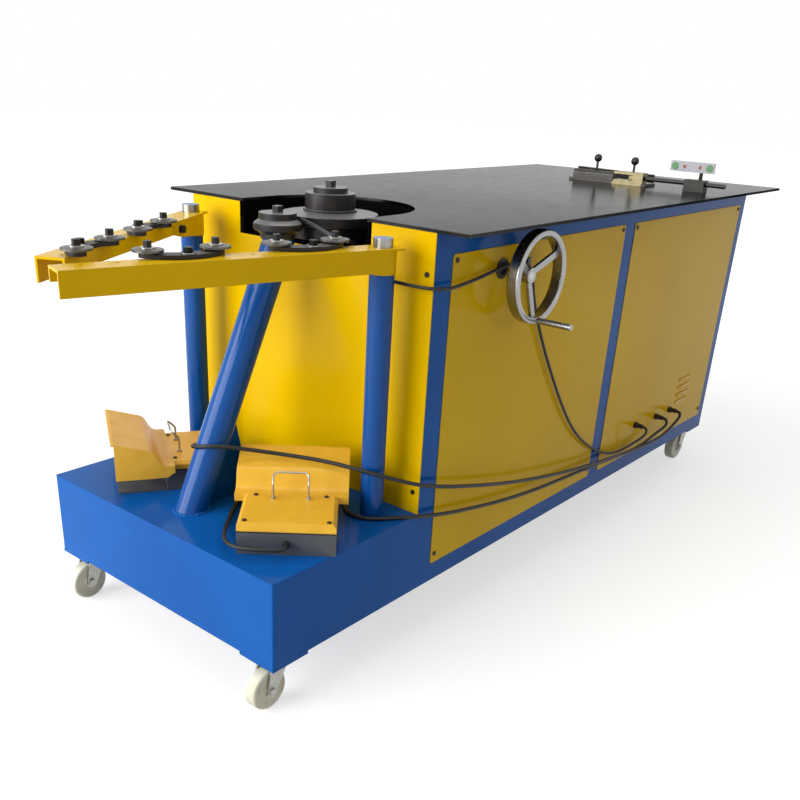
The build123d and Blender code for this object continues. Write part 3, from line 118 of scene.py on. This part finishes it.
def linear(code):
    """Linear colour from an sRGB hex code."""
    parts = [int(code[i:i + 2], 16) / 255 for i in (1, 3, 5)]
    return tuple(c / 12.92 if c <= 0.04045 else ((c + 0.055) / 1.055) ** 2.4 for c in parts) + (1.0,)


def per_mm(size):
    """Texture scale for a feature of this size in mm, on coordinates in metres."""
    return 1000.0 / size


def add(tree, kind, inputs=None, **settings):
    """Add a node with its settings, and set or link its inputs."""
    node = tree.nodes.new("ShaderNode" + kind)
    for name, value in settings.items():
        setattr(node, name, value)
    for socket, value in (inputs or {}).items():
        if isinstance(value, bpy.types.NodeSocket):
            tree.links.new(value, node.inputs[socket])
        else:
            node.inputs[socket].default_value = value
    return node


def begin(name, **constants):
    """A new material: its tree, its shader with these constants, and the piece's coordinates in metres."""
    material = bpy.data.materials.new(name)
    material.use_nodes = True
    tree = material.node_tree
    shader = tree.nodes["Principled BSDF"]
    for socket, value in constants.items():
        shader.inputs[socket.replace("_", " ")].default_value = value
    place = add(tree, "TexCoord").outputs["Object"]
    return material, tree, shader, place


def edges(tree, radius, start, end, most=1.0):
    """A solid's rounded normal, and a mask of its edges, where that leaves the flat normal."""
    rounded = add(tree, "Bevel", {"Radius": radius}, samples=4).outputs["Normal"]
    flat = add(tree, "NewGeometry").outputs["Normal"]
    bend = add(tree, "VectorMath", {0: rounded, 1: flat}, operation="DOT_PRODUCT")
    mask = add(tree, "MapRange", {"Value": bend.outputs["Value"], "From Min": start, "From Max": end,
                                  "To Max": most})
    return rounded, mask.outputs["Result"]


def sprayed_enamel(name, colour, dull, chip, gloss, spread=0.06, ior=1.17):
    """Gloss enamel sprayed on folded steel: uneven film, orange peel, dulled patches and chipped edges."""
    material, tree, shader, place = begin(name, IOR=ior)
    film = add(tree, "TexNoise", {"Vector": place, "Scale": per_mm(420), "Detail": 3.0})
    uneven = add(tree, "MapRange", {"Value": film.outputs["Fac"], "From Min": 0.35, "From Max": 0.7})
    tone = add(tree, "Mix", {"Factor": uneven.outputs["Result"], 6: linear(colour), 7: linear(dull)},
               data_type="RGBA")
    # Chips show only where the sheet is folded
    rounded, edge = edges(tree, 0.0022, 0.985, 0.9)
    specks = add(tree, "TexNoise", {"Vector": place, "Scale": per_mm(9), "Detail": 4.0})
    bare = add(tree, "MapRange", {"Value": specks.outputs["Fac"], "From Min": 0.6, "From Max": 0.68})
    worn = add(tree, "Math", {0: edge, 1: bare.outputs["Result"]}, operation="MULTIPLY")
    paint = add(tree, "Mix", {"Factor": worn.outputs["Value"], 6: tone.outputs[2], 7: linear(chip)},
                data_type="RGBA")
    tree.links.new(paint.outputs[2], shader.inputs["Base Color"])
    wiped = add(tree, "TexNoise", {"Vector": place, "Scale": per_mm(90), "Detail": 5.0, "Roughness": 0.6})
    rough = add(tree, "MapRange", {"Value": wiped.outputs["Fac"], "From Min": 0.3, "From Max": 0.75,
                                   "To Min": gloss, "To Max": gloss + spread})
    tree.links.new(rough.outputs["Result"], shader.inputs["Roughness"])
    # Orange peel of about 3 mm is too fine for the picture, so it is drawn at 7 mm
    peel = add(tree, "TexNoise", {"Vector": place, "Scale": per_mm(7), "Detail": 1.0})
    bump = add(tree, "Bump", {"Strength": 0.04, "Distance": 0.001, "Height": peel.outputs["Fac"],
                              "Normal": rounded})
    tree.links.new(bump.outputs["Normal"], shader.inputs["Normal"])
    return material


def plain_metal(name, colour, dark, roughness, grain, metallic=1.0):
    """Bare or plated steel: a tint that wanders a little and a fine grain in its gloss and surface."""
    material, tree, shader, place = begin(name, Metallic=metallic)
    cloud = add(tree, "TexNoise", {"Vector": place, "Scale": per_mm(grain * 12), "Detail": 4.0})
    tint = add(tree, "Mix", {"Factor": cloud.outputs["Fac"], 6: linear(colour), 7: linear(dark)},
               data_type="RGBA")
    tree.links.new(tint.outputs[2], shader.inputs["Base Color"])
    fine = add(tree, "TexNoise", {"Vector": place, "Scale": per_mm(grain), "Detail": 3.0})
    rough = add(tree, "MapRange", {"Value": fine.outputs["Fac"], "From Min": 0.3, "From Max": 0.7,
                                   "To Min": roughness * 0.8, "To Max": roughness * 1.25})
    tree.links.new(rough.outputs["Result"], shader.inputs["Roughness"])
    rounded = add(tree, "Bevel", {"Radius": 0.0008}, samples=4)
    bump = add(tree, "Bump", {"Strength": 0.05, "Distance": 0.0004, "Height": fine.outputs["Fac"],
                              "Normal": rounded.outputs["Normal"]})
    tree.links.new(bump.outputs["Normal"], shader.inputs["Normal"])
    return material


def blackened_plate(name):
    """Oil-blackened sheet: near black, cloudy where the oil dried, and rubbed bare along its edges."""
    material, tree, shader, place = begin(name, Metallic=1.0)
    cloud = add(tree, "TexNoise", {"Vector": place, "Scale": per_mm(380), "Detail": 3.0})
    film = add(tree, "MapRange", {"Value": cloud.outputs["Fac"], "From Min": 0.35, "From Max": 0.68})
    sheen = add(tree, "Mix", {"Factor": film.outputs["Result"], 6: linear("#A0A1A2"), 7: linear("#ACADAE")},
                data_type="RGBA")
    tree.links.new(sheen.outputs[2], shader.inputs["Specular Tint"])
    smear = add(tree, "TexNoise", {"Vector": place, "Scale": per_mm(45), "Detail": 5.0})
    skin = add(tree, "Mix", {"Factor": smear.outputs["Fac"], 6: linear("#343434"), 7: linear("#383838")},
               data_type="RGBA")
    rounded, edge = edges(tree, 0.0016, 0.99, 0.85, 0.7)
    tone = add(tree, "Mix", {"Factor": edge, 6: skin.outputs[2], 7: linear("#7C7D7E")},
               data_type="RGBA")
    tree.links.new(tone.outputs[2], shader.inputs["Base Color"])
    rough = add(tree, "MapRange", {"Value": smear.outputs["Fac"], "From Min": 0.3, "From Max": 0.75,
                                   "To Min": 0.15, "To Max": 0.19})
    tree.links.new(rough.outputs["Result"], shader.inputs["Roughness"])
    tree.links.new(rounded, shader.inputs["Normal"])
    return material


def turned_die_steel(name, axis):
    """Blackened tool steel turned on a lathe: near-black skin, faint tool rings and edges rubbed bare."""
    material, tree, shader, place = begin(name, Metallic=0.5)
    cloud = add(tree, "TexNoise", {"Vector": place, "Scale": per_mm(24), "Detail": 4.0})
    skin = add(tree, "Mix", {"Factor": cloud.outputs["Fac"], 6: linear("#2B2827"), 7: linear("#1A1817")},
               data_type="RGBA")
    rounded, edge = edges(tree, 0.0018, 0.99, 0.88, 0.6)
    # Faces that look up are mixed toward a lighter grey, as painted light on the dies' tops
    flat = add(tree, "NewGeometry").outputs["Normal"]
    upward = add(tree, "VectorMath", {0: flat, 1: UP}, operation="DOT_PRODUCT")
    painted_top_light = add(tree, "MapRange", {"Value": upward.outputs["Value"], "From Min": 0.5, "From Max": 0.95,
                                   "To Max": 0.75})
    face = add(tree, "Mix", {"Factor": painted_top_light.outputs["Result"], 6: skin.outputs[2], 7: linear("#858587")},
               data_type="RGBA")
    tone = add(tree, "Mix", {"Factor": edge, 6: face.outputs[2], 7: linear("#75736F")},
               data_type="RGBA")
    tree.links.new(tone.outputs[2], shader.inputs["Base Color"])
    # Tool rings are about 0.3 mm apart, too fine for the picture, so they are drawn at 8 mm
    centred = add(tree, "VectorMath", {0: place, 1: axis}, operation="SUBTRACT")
    rings = add(tree, "TexWave", {"Vector": centred.outputs["Vector"], "Scale": per_mm(4) / 6.28,
                                  "Distortion": 0.4}, wave_type="RINGS", rings_direction="Z")
    rough = add(tree, "MapRange", {"Value": rings.outputs["Fac"], "To Min": 0.34, "To Max": 0.46})
    tree.links.new(rough.outputs["Result"], shader.inputs["Roughness"])
    bump = add(tree, "Bump", {"Strength": 0.12, "Distance": 0.0005, "Height": rings.outputs["Fac"],
                              "Normal": rounded})
    tree.links.new(bump.outputs["Normal"], shader.inputs["Normal"])
    return material


def moulded(name, colour, worn, roughness, grain):
    """Moulded plastic or rubber: an even colour with rubbed patches and a fine mould texture."""
    material, tree, shader, place = begin(name, IOR=1.45)
    rubbed = add(tree, "TexNoise", {"Vector": place, "Scale": per_mm(60), "Detail": 5.0})
    patch = add(tree, "MapRange", {"Value": rubbed.outputs["Fac"], "From Min": 0.4, "From Max": 0.75})
    tint = add(tree, "Mix", {"Factor": patch.outputs["Result"], 6: linear(colour), 7: linear(worn)},
               data_type="RGBA")
    tree.links.new(tint.outputs[2], shader.inputs["Base Color"])
    rough = add(tree, "MapRange", {"Value": patch.outputs["Result"], "To Min": roughness,
                                   "To Max": roughness + 0.12})
    tree.links.new(rough.outputs["Result"], shader.inputs["Roughness"])
    texture = add(tree, "TexNoise", {"Vector": place, "Scale": per_mm(grain), "Detail": 2.0})
    rounded = add(tree, "Bevel", {"Radius": 0.0012}, samples=4)
    bump = add(tree, "Bump", {"Strength": 0.08, "Distance": 0.0005, "Height": texture.outputs["Fac"],
                              "Normal": rounded.outputs["Normal"]})
    tree.links.new(bump.outputs["Normal"], shader.inputs["Normal"])
    return material


def zone(material, direction, low, high, colour, dark, metallic, roughness, measure="DOT_PRODUCT"):
    """Another finish on the part of a solid between two distances along a direction or from a point."""
    tree = material.node_tree
    shader = tree.nodes["Principled BSDF"]
    place = add(tree, "TexCoord").outputs["Object"]
    along = add(tree, "VectorMath", {0: place, 1: direction}, operation=measure)
    mask = add(tree, "Math", {0: along.outputs["Value"], 1: (low + high) / 2, 2: (high - low) / 2},
               operation="COMPARE").outputs["Value"]
    cloud = add(tree, "TexNoise", {"Vector": place, "Scale": per_mm(14), "Detail": 4.0})
    tint = add(tree, "Mix", {"Factor": cloud.outputs["Fac"], 6: linear(colour), 7: linear(dark)},
               data_type="RGBA")
    gloss = add(tree, "MapRange", {"Value": cloud.outputs["Fac"], "To Min": roughness * 0.8,
                                   "To Max": roughness * 1.2})
    under = shader.inputs["Base Color"].links[0].from_socket
    paint = add(tree, "Mix", {"Factor": mask, 6: under, 7: tint.outputs[2]}, data_type="RGBA")
    tree.links.new(paint.outputs[2], shader.inputs["Base Color"])
    under = shader.inputs["Roughness"].links[0].from_socket
    rough = add(tree, "Mix", {"Factor": mask, 2: under, 3: gloss.outputs["Result"]}, data_type="FLOAT")
    tree.links.new(rough.outputs[0], shader.inputs["Roughness"])
    metal = shader.inputs["Metallic"]
    under = metal.links[0].from_socket if metal.is_linked else metal.default_value
    plated = add(tree, "Mix", {"Factor": mask, 2: under, 3: metallic}, data_type="FLOAT")
    tree.links.new(plated.outputs[0], metal)


YELLOW = ("#E4B802", "#DCAF00", "#7E6A1C", 0.16)
BLUE = ("#0F5CAD", "#0B529F", "#0E2F57", 0.12)
# A darker copy of the blue enamel for the round tubes, as painted shade
SHADED_TUBE_BLUE = ("#0C4E98", "#0A478C", "#0E2F57", 0.12)
blue_enamel = sprayed_enamel("blue_enamel_on_steel", *BLUE)
yellow_enamel = sprayed_enamel("yellow_enamel_on_steel", *YELLOW)
well_black = sprayed_enamel("matt_black_well", "#060607", "#09090A", "#2A2A2B", 0.5, 0.1, 1.08)
grey_enamel = sprayed_enamel("grey_enamel_on_casting", "#8A8D90", "#7E8184", "#55585A", 0.36)
black_oxide = plain_metal("blackened_tool_steel", "#3E3B3A", "#2C2A29", 0.42, 1.5, 0.75)
bright_steel = plain_metal("ground_bright_steel", "#C4C3C0", "#A8A7A4", 0.24, 1.0)
cast_iron = plain_metal("rough_cast_iron", "#5B5A59", "#464544", 0.6, 3.0, 0.6)
zinc_plate = plain_metal("zinc_plated_steel", "#B9B8B1", "#94938C", 0.34, 1.2)
satin_chrome = plain_metal("satin_chrome_plate", "#A9A9A8", "#8C8C8B", 0.24, 4.0)
ivory_nylon = moulded("ivory_cast_nylon", "#E2E0CB", "#C6C1A8", 0.42, 1.5)
yellow_plastic = moulded("yellow_moulded_abs", "#E6B231", "#DDA628", 0.34, 1.2)
grey_plastic = moulded("grey_abs_with_gasket", "#4E5054", "#434549", 0.45, 1.2)
black_plastic = moulded("black_phenolic", "#161617", "#202021", 0.28, 1.0)
black_rubber = moulded("black_cable_rubber", "#131314", "#1F1F20", 0.5, 1.0)

finishes = {
    "blue_paint": blue_enamel, "yellow_paint": yellow_enamel, "black_enamel": well_black,
    "grey_enamel": grey_enamel, "black_oxide": black_oxide, "bright_steel": bright_steel,
    "cast_grey": cast_iron, "chrome": satin_chrome, "zinc": zinc_plate, "ivory_nylon": ivory_nylon,
    "yellow_plastic": yellow_plastic, "grey_plastic": grey_plastic, "black_plastic": black_plastic,
    "black_rubber": black_rubber,
}


def dress(node, material):
    """Give a solid its finish."""
    mesh = frame["nodes"][node].data
    mesh.materials.clear()
    mesh.materials.append(material)


for subpart in frame["record"]["subparts"]:
    dress(subpart["node"], finishes[subpart["material_slot"]])

# The bent guide finger, which stands out in front of the well, is rubbed grey
zone(well_black, ALONG, FINGER_START, FINGER_END, "#55565A", "#3C3D40", 0.3, 0.4)

# The table is a blackened sheet, and the leaning tube gets a darker copy of the blue enamel as painted
# shade
dress("table_top", blackened_plate("oil_blackened_plate"))
dress("die_column", sprayed_enamel("blue_enamel_with_painted_shade_on_tube", *SHADED_TUBE_BLUE, ior=1.3))

# Dies, each with its own lathe rings
for die in ("main_die", "small_die"):
    low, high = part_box(die)
    dress(die, turned_die_steel(f"{die}_blackened_steel", (low + high) / 2))

# Arm posts: tubes in the darker copy of the blue enamel as painted shade, with bare turned pins, whose tops
# caught some of the blue spray
posts_finish = sprayed_enamel("shaded_blue_enamel_with_bare_pins", *SHADED_TUBE_BLUE, ior=1.3)
pin_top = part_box("arm_posts")[1].z
zone(posts_finish, UP, PIN_START, ABOVE_ALL, "#A5A39E", "#86847F", 1.0, 0.3)
zone(posts_finish, UP, pin_top - SPRAY_DEPTH, ABOVE_ALL, "#8FA6C4", "#6E88AB", 0.6, 0.4)
dress("arm_posts", posts_finish)

# Arms: painted channels, with plated washers and black heads on the pivot bolts and a black clamp screw
for arm, heading, inner in (("arm_right", 163.5, -1), ("arm_left", 209.7, 1)):
    turn = math.radians(heading)
    inward = inner * Vector((-math.sin(turn), math.cos(turn), 0))
    wall = placed(POST_STATION, inner * POST_OFFSET, 0).dot(inward) + ARM_HALF
    arm_finish = sprayed_enamel(f"{arm}_yellow_enamel", *YELLOW)
    zone(arm_finish, UP, ARM_SKIN, ARM_WASHER_TOP, "#BDBBB5", "#96948E", 1.0, 0.35)
    zone(arm_finish, UP, ARM_WASHER_TOP, ABOVE_ALL, "#232222", "#161515", 0.6, 0.4)
    zone(arm_finish, inward, wall + CLAMP_SCREW_START, wall + CLAMP_SCREW_REACH,
         "#2E2B29", "#1E1C1B", 0.6, 0.45)
    dress(arm, arm_finish)

# Rockers and rollers: blackened bars, rubbed discs, plated washers and black bolt heads
rocker_finish = plain_metal("blackened_bar_with_bolts", "#33302F", "#252322", 0.45, 1.5, 0.7)
zone(rocker_finish, UP, ROCKER_TOP, ROCKER_WASHER_TOP, "#C2C0BB", "#A09E98", 1.0, 0.3)
zone(rocker_finish, UP, ROCKER_WASHER_TOP, ABOVE_ALL, "#232222", "#161515", 0.6, 0.4)
roller_finish = plain_metal("rubbed_roller_steel", "#6E6C69", "#504E4B", 0.36, 1.2, 0.85)
for subpart in frame["record"]["subparts"]:
    if subpart["node"].startswith("rocker"):
        dress(subpart["node"], rocker_finish)
    if subpart["node"].startswith("roller"):
        dress(subpart["node"], roller_finish)

# Foot switches: a black gasket between the grey box and the yellow lid
zone(grey_plastic, UP, GASKET_START, GASKET_END, "#0B0B0C", "#141415", 0.0, 0.6)

# Gauge: oiled dark steel, a plated clevis, and a pale plate with two red dots and green marks
dress("gauge_rod", plain_metal("oiled_dark_steel", "#3F3D3A", "#2B2A28", 0.36, 1.5, 0.8))
foot_finish = plain_metal("oiled_steel_with_plated_clevis", "#4A4844", "#33312E", 0.36, 1.5, 0.8)
zone(foot_finish, ASIDE, CLEVIS_NEAR, CLEVIS_FAR, "#8C8263", "#6E664C", 1.0, 0.38)
dress("gauge_base", foot_finish)
slide_finish = plain_metal("oiled_slide_with_bright_plate", "#363431", "#262523", 0.36, 1.5, 0.8)
zone(slide_finish, UP, GAUGE_PLATE_BOTTOM, ABOVE_ALL, "#BEBDC4", "#A9A7B0", 0.0, 0.35)
for dot_offset in DOT_OFFSETS:
    dot = placed(GAUGE_PLATE_FACE, dot_offset, GAUGE_PLATE_MIDDLE)
    zone(slide_finish, dot, -DOT_RADIUS, DOT_RADIUS, "#A8463F", "#8F3832", 0.0, 0.35, "DISTANCE")
zone(slide_finish, ALONG, MARK_FACE - MARK_REACH, MARK_FACE, "#4C9A55", "#3C8046", 0.0, 0.35)
zone(slide_finish, UP, 0.0, GAUGE_BLOCK_TOP, "#363431", "#262523", 0.8, 0.36)
dress("gauge_slide", slide_finish)


# Welds round the feet of the posts and the leaning tube: overlapping lumps under the paint
def weld_bead(name, points, size):
    """A lumpy closed bead along points on the platform, half sunk in it, painted like its neighbours."""
    sides = 8
    shape = bmesh.new()
    loops = []
    count = len(points)
    for index, point in enumerate(points):
        ahead = points[(index + 1) % count] - points[index - 1]
        across = ahead.cross(UP).normalized()
        lump = size * (1.0 + 0.28 * math.sin(index * 2.1) + 0.12 * math.sin(index * 0.7))
        loops.append([
            shape.verts.new(point + lump * (math.cos(a) * across + math.sin(a) * UP))
            for a in (2 * math.pi * step / sides for step in range(sides))
        ])
    for index in range(count):
        here, there = loops[index], loops[(index + 1) % count]
        for side in range(sides):
            after = (side + 1) % sides
            shape.faces.new((here[side], here[after], there[after], there[side]))
    bmesh.ops.recalc_face_normals(shape, faces=shape.faces)
    mesh = bpy.data.meshes.new(name)
    shape.to_mesh(mesh)
    shape.free()
    for face in mesh.polygons:
        face.use_smooth = True
    mesh.materials.append(blue_enamel)
    bead = bpy.data.objects.new(name, mesh)
    bpy.context.scene.collection.objects.link(bead)
    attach(bead, "stand")


def ring(station, offset, along, across, count):
    """Points of an upright tube's foot on the platform, its half lengths in mm."""
    return [
        placed(station + along * math.cos(a), offset + across * math.sin(a), 1000 * PLATFORM)
        for a in (2 * math.pi * step / count for step in range(count))
    ]


for side, offset in (("near", -POST_OFFSET), ("far", POST_OFFSET)):
    foot = ring(POST_STATION, offset, POST_RING_RADIUS, POST_RING_RADIUS, 40)
    weld_bead(f"{side}_post_weld", foot, POST_BEAD)
weld_bead("column_weld", ring(COLUMN_STATION, 0, *COLUMN_RING_HALVES, 52), COLUMN_BEAD)


# Foot switches' lid screws: dark cross-recessed heads over the plain ones of the solids
def cross_head(shape, centre, turn):
    """A pan head with a cross recess, standing on a point of the lid."""
    def at(x, y, z):
        return shape.verts.new(centre + Matrix.Rotation(turn, 3, "Z") @ Vector((x, y, z)))

    half = RECESS_WIDTH / 2
    reach = 0.62 * SCREW_RADIUS
    crown_radius = 0.82 * SCREW_RADIUS
    shoulder_height = 0.6 * SCREW_HEIGHT
    corners = [
        (half, half), (half, reach), (-half, reach), (-half, half), (-reach, half), (-reach, -half),
        (-half, -half), (-half, -reach), (half, -reach), (half, -half), (reach, -half), (reach, half),
    ]
    steps = [2 * math.pi * step / 24 for step in range(24)]
    foot = [at(SCREW_RADIUS * math.cos(a), SCREW_RADIUS * math.sin(a), 0) for a in steps]
    shoulder = [at(SCREW_RADIUS * math.cos(a), SCREW_RADIUS * math.sin(a), shoulder_height) for a in steps]
    crown = [at(crown_radius * math.cos(a), crown_radius * math.sin(a), SCREW_HEIGHT) for a in steps]
    mouth = [at(x, y, SCREW_HEIGHT) for x, y in corners]
    bottom = [at(x, y, SCREW_HEIGHT - RECESS_DEPTH) for x, y in corners]
    for low, high in ((foot, shoulder), (shoulder, crown), (bottom, mouth)):
        for here in range(len(low)):
            there = (here + 1) % len(low)
            shape.faces.new((low[here], low[there], high[there], high[here]))
    shape.faces.new(bottom)
    shape.faces.new(list(reversed(foot)))
    rims = []
    for loop in (crown, mouth):
        rims += [shape.edges.get((loop[here - 1], loop[here])) for here in range(len(loop))]
    bmesh.ops.triangle_fill(shape, use_beauty=True, edges=rims)


screw_steel = plain_metal("browned_screw_steel", "#4A3A2C", "#352A20", 0.42, 1.0, 0.6)
shape = bmesh.new()
for station, offset, heading in FOOT_SWITCHES:
    turn = math.radians(heading)
    for along, aside in LID_SCREWS:
        spot = placed(station + along * math.cos(turn) - aside * math.sin(turn),
                      offset + along * math.sin(turn) + aside * math.cos(turn), LID_LEVEL)
        cross_head(shape, spot, turn + 0.3 * along)
bmesh.ops.recalc_face_normals(shape, faces=shape.faces)
screw_mesh = bpy.data.meshes.new("lid_screws")
shape.to_mesh(screw_mesh)
shape.free()
screw_mesh.materials.append(screw_steel)
screws = bpy.data.objects.new("lid_screws", screw_mesh)
bpy.context.scene.collection.objects.link(screws)
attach(screws, "stand")


# Cables: rubber leads on the same points as their solids, as smooth lines
def lead(name, node, points, diameter):
    """A cable along its points, which goes back into the machine at its far end."""
    curve = bpy.data.curves.new(name, "CURVE")
    curve.dimensions = "3D"
    curve.bevel_depth = diameter / 2
    curve.bevel_resolution = 5
    curve.use_fill_caps = True
    spline = curve.splines.new("NURBS")
    spline.points.add(len(points) - 1)
    for knot, point in zip(spline.points, points):
        knot.co = (*placed(*point), 1.0)
    spline.order_u = 3
    spline.use_endpoint_u = True
    spline.resolution_u = 8
    piece = bpy.data.objects.new(name, curve)
    bpy.context.scene.collection.objects.link(piece)
    curve.materials.append(black_rubber)
    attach(piece, "stand")
    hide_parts(node)


handwheel_route = (
    (-10, -258, 912), (-20, -258, 912), (-29, -265, 913), (-34, -283, 914), (-34, -312, 914),
    (-32, -348, 913), (-27, -388, 911), (-12, -424, 910), (20, -438, 909), (64, -432, 909),
    (125, -426, 912), (188, -424, 920), (245, -424, 928), (300, -426, 934), (343, -428, 933),
    (375, -428, 918), (394, -427, 884), (411, -425, 841), (436, -424, 791), (472, -424, 730),
    (514, -424, 666), (560, -424, 603), (610, -424, 537), (662, -424, 474), (718, -424, 413),
    (778, -424, 361), (846, -424, 316), (920, -424, 277), (990, -424, 249), (1050, -424, 233),
    (1102, -425, 227), (1142, -433, 235), (1166, -447, 249), (1180, -457, 260), (1192, -463, 270),
    (1200, -464, 277), (1209, -460, 285), (1214, -451, 289), (1214, -442, 289),
)
near_pedal_route = (
    (-386, -339, 380), (-393, -345, 380), (-404, -347, 380), (-414, -342, 380), (-429, -326, 380),
    (-450, -300, 380), (-468, -267, 379), (-464, -229, 375), (-438, -189, 368), (-398, -149, 361),
    (-351, -109, 358), (-302, -70, 358), (-253, -41, 358), (-202, -36, 358), (-155, -57, 358),
    (-113, -98, 358), (-81, -146, 358), (-69, -200, 358), (-86, -241, 358), (-112, -268, 358),
    (-126, -291, 358), (-129, -318, 358), (-117, -345, 358), (-94, -369, 358), (-64, -393, 359),
    (-26, -418, 357), (18, -428, 349), (76, -433, 336), (148, -435, 322), (242, -435, 304),
    (342, -435, 287), (448, -435, 272), (560, -435, 260), (680, -435, 251), (810, -435, 242),
    (940, -435, 232), (1060, -435, 221), (1160, -435, 213), (1240, -436, 213), (1297, -440, 224),
    (1327, -447, 238), (1345, -456, 250), (1359, -463, 261), (1366, -464, 268), (1374, -460, 277),
    (1379, -451, 281), (1379, -442, 281),
)
far_pedal_route = (
    (-129, 125, 380), (-118, 118, 380), (-104, 107, 381), (-93, 91, 384), (-88, 71, 389),
    (-96, 51, 397), (-116, 37, 407), (-146, 33, 420), (-180, 40, 436), (-218, 50, 454), (-256, 58, 471),
    (-295, 59, 484), (-330, 45, 494), (-351, 16, 505), (-353, -18, 515), (-334, -46, 519),
    (-298, -67, 512), (-258, -93, 502), (-222, -128, 495), (-191, -173, 491), (-165, -221, 489),
    (-145, -269, 486), (-128, -316, 482), (-106, -359, 475), (-71, -396, 461), (-25, -425, 444),
    (32, -441, 428), (100, -447, 409), (180, -447, 387), (270, -447, 363), (370, -447, 339),
    (480, -447, 315), (600, -447, 293), (725, -447, 272), (850, -447, 255), (970, -447, 241),
    (1085, -447, 229), (1195, -448, 219), (1290, -449, 213), (1370, -451, 217), (1424, -455, 231),
    (1455, -460, 250), (1471, -463, 262), (1479, -464, 269), (1488, -460, 276), (1494, -451, 280),
    (1494, -442, 280),
)
lead("handwheel_lead", "handwheel_cable", handwheel_route, 0.008)
lead("near_switch_lead", "near_pedal_cable", near_pedal_route, 0.010)
lead("far_switch_lead", "far_pedal_cable", far_pedal_route, 0.010)


def seen_directly(tree):
    """One where the camera, a mirror or a clear piece looks, and zero for light on other surfaces."""
    path = add(tree, "LightPath")
    mirrored = add(tree, "Math", {0: path.outputs["Is Camera Ray"], 1: path.outputs["Is Glossy Ray"]},
                   operation="MAXIMUM")
    clear = add(tree, "Math", {0: mirrored.outputs["Value"], 1: path.outputs["Is Transmission Ray"]},
                operation="MAXIMUM")
    return clear.outputs["Value"]


# Pale floor that keeps the shadow. Where the camera or a mirror sees it, it glows enough to read as white
floor_mesh = bpy.data.meshes.new("studio_floor")
floor_corners = [
    (x * FLOOR_HALF, y * FLOOR_HALF, 0)
    for x, y in ((-1, -1), (1, -1), (1, 1), (-1, 1))
]
floor_mesh.from_pydata(floor_corners, [], [(0, 1, 2, 3)])
floor = bpy.data.objects.new("studio_floor", floor_mesh)
bpy.context.scene.collection.objects.link(floor)
floor_paint, tree, shader, place = begin("pale_studio_floor", Roughness=0.9)
shader.inputs["Base Color"].default_value = linear("#C4C4C4")
away = add(tree, "VectorMath", {0: place}, operation="LENGTH")
lift = add(tree, "MapRange", {"Value": away.outputs["Value"], "From Min": 2.0, "From Max": 4.0,
                              "To Min": 0.6, "To Max": 0.85})
glow = add(tree, "Math", {0: seen_directly(tree), 1: lift.outputs["Result"]}, operation="MULTIPLY")
white = add(tree, "Emission", {"Strength": glow.outputs["Value"]})
both = add(tree, "AddShader", {0: shader.outputs["BSDF"], 1: white.outputs["Emission"]})
tree.links.new(both.outputs["Shader"], tree.nodes["Material Output"].inputs["Surface"])
floor_mesh.materials.append(floor_paint)

# White surroundings, dimmer as a light than as a background
world = bpy.data.worlds.new("studio")
bpy.context.scene.world = world
world.use_nodes = True
tree = world.node_tree
strength = add(tree, "MapRange", {"Value": seen_directly(tree), "To Min": 0.34, "To Max": 1.0})
background = tree.nodes["Background"]
background.inputs["Color"].default_value = (1.0, 1.0, 1.0, 1.0)
tree.links.new(strength.outputs["Result"], background.inputs["Strength"])


def panel_light(name, where, aim, width, height, power):
    """A soft rectangular studio lamp."""
    data = bpy.data.lights.new(name, "AREA")
    data.shape = "RECTANGLE"
    data.size = width
    data.size_y = height
    data.energy = power
    lamp = bpy.data.objects.new(name, data)
    bpy.context.scene.collection.objects.link(lamp)
    lamp.location = where
    lamp.rotation_euler = (Vector(aim) - Vector(where)).to_track_quat("-Z", "Y").to_euler()


# The light comes from the front and above, so that the long near side is in half shade
panel_light("front_softbox", (-5.0, 1.3, 2.1), (-0.6, 0.0, 0.7), 3.8, 3.2, 260)
panel_light("front_strip", (-3.6, 2.6, 1.5), (-0.4, 0.0, 0.7), 0.35, 2.4, 26)
panel_light("overhead_softbox", (0.1, 0.2, 4.4), (0.1, 0.0, 0.6), 3.4, 2.4, 62)
panel_light("near_fill", (0.2, -4.8, 2.2), (0.2, 0.0, 0.6), 2.6, 2.0, 14)

# Camera where the photograph was taken from
back = Vector((
    math.sin(CAMERA_TURN) * math.cos(CAMERA_RISE),
    -math.cos(CAMERA_TURN) * math.cos(CAMERA_RISE),
    math.sin(CAMERA_RISE),
))
level = UP.cross(back).normalized()
upright = back.cross(level)
right = math.cos(CAMERA_ROLL) * level + math.sin(CAMERA_ROLL) * upright
up = -math.sin(CAMERA_ROLL) * level + math.cos(CAMERA_ROLL) * upright
lens = bpy.data.cameras.new("photo_camera")
lens.sensor_width = SENSOR_WIDTH
lens.lens = FOCAL_LENGTH / PICTURE_SIDE * SENSOR_WIDTH
lens.shift_x = (PICTURE_SIDE / 2 - VIEW_MIDDLE[0]) / PICTURE_SIDE
lens.shift_y = (VIEW_MIDDLE[1] - PICTURE_SIDE / 2) / PICTURE_SIDE
camera = bpy.data.objects.new("photo_camera", lens)
bpy.context.scene.collection.objects.link(camera)
camera.matrix_world = Matrix((
    (right.x, up.x, back.x, CAMERA_PLACE[0]),
    (right.y, up.y, back.y, CAMERA_PLACE[1]),
    (right.z, up.z, back.z, CAMERA_PLACE[2]),
    (0, 0, 0, 1),
))
bpy.context.scene.camera = camera

bpy.context.scene.view_settings.view_transform = "Standard"
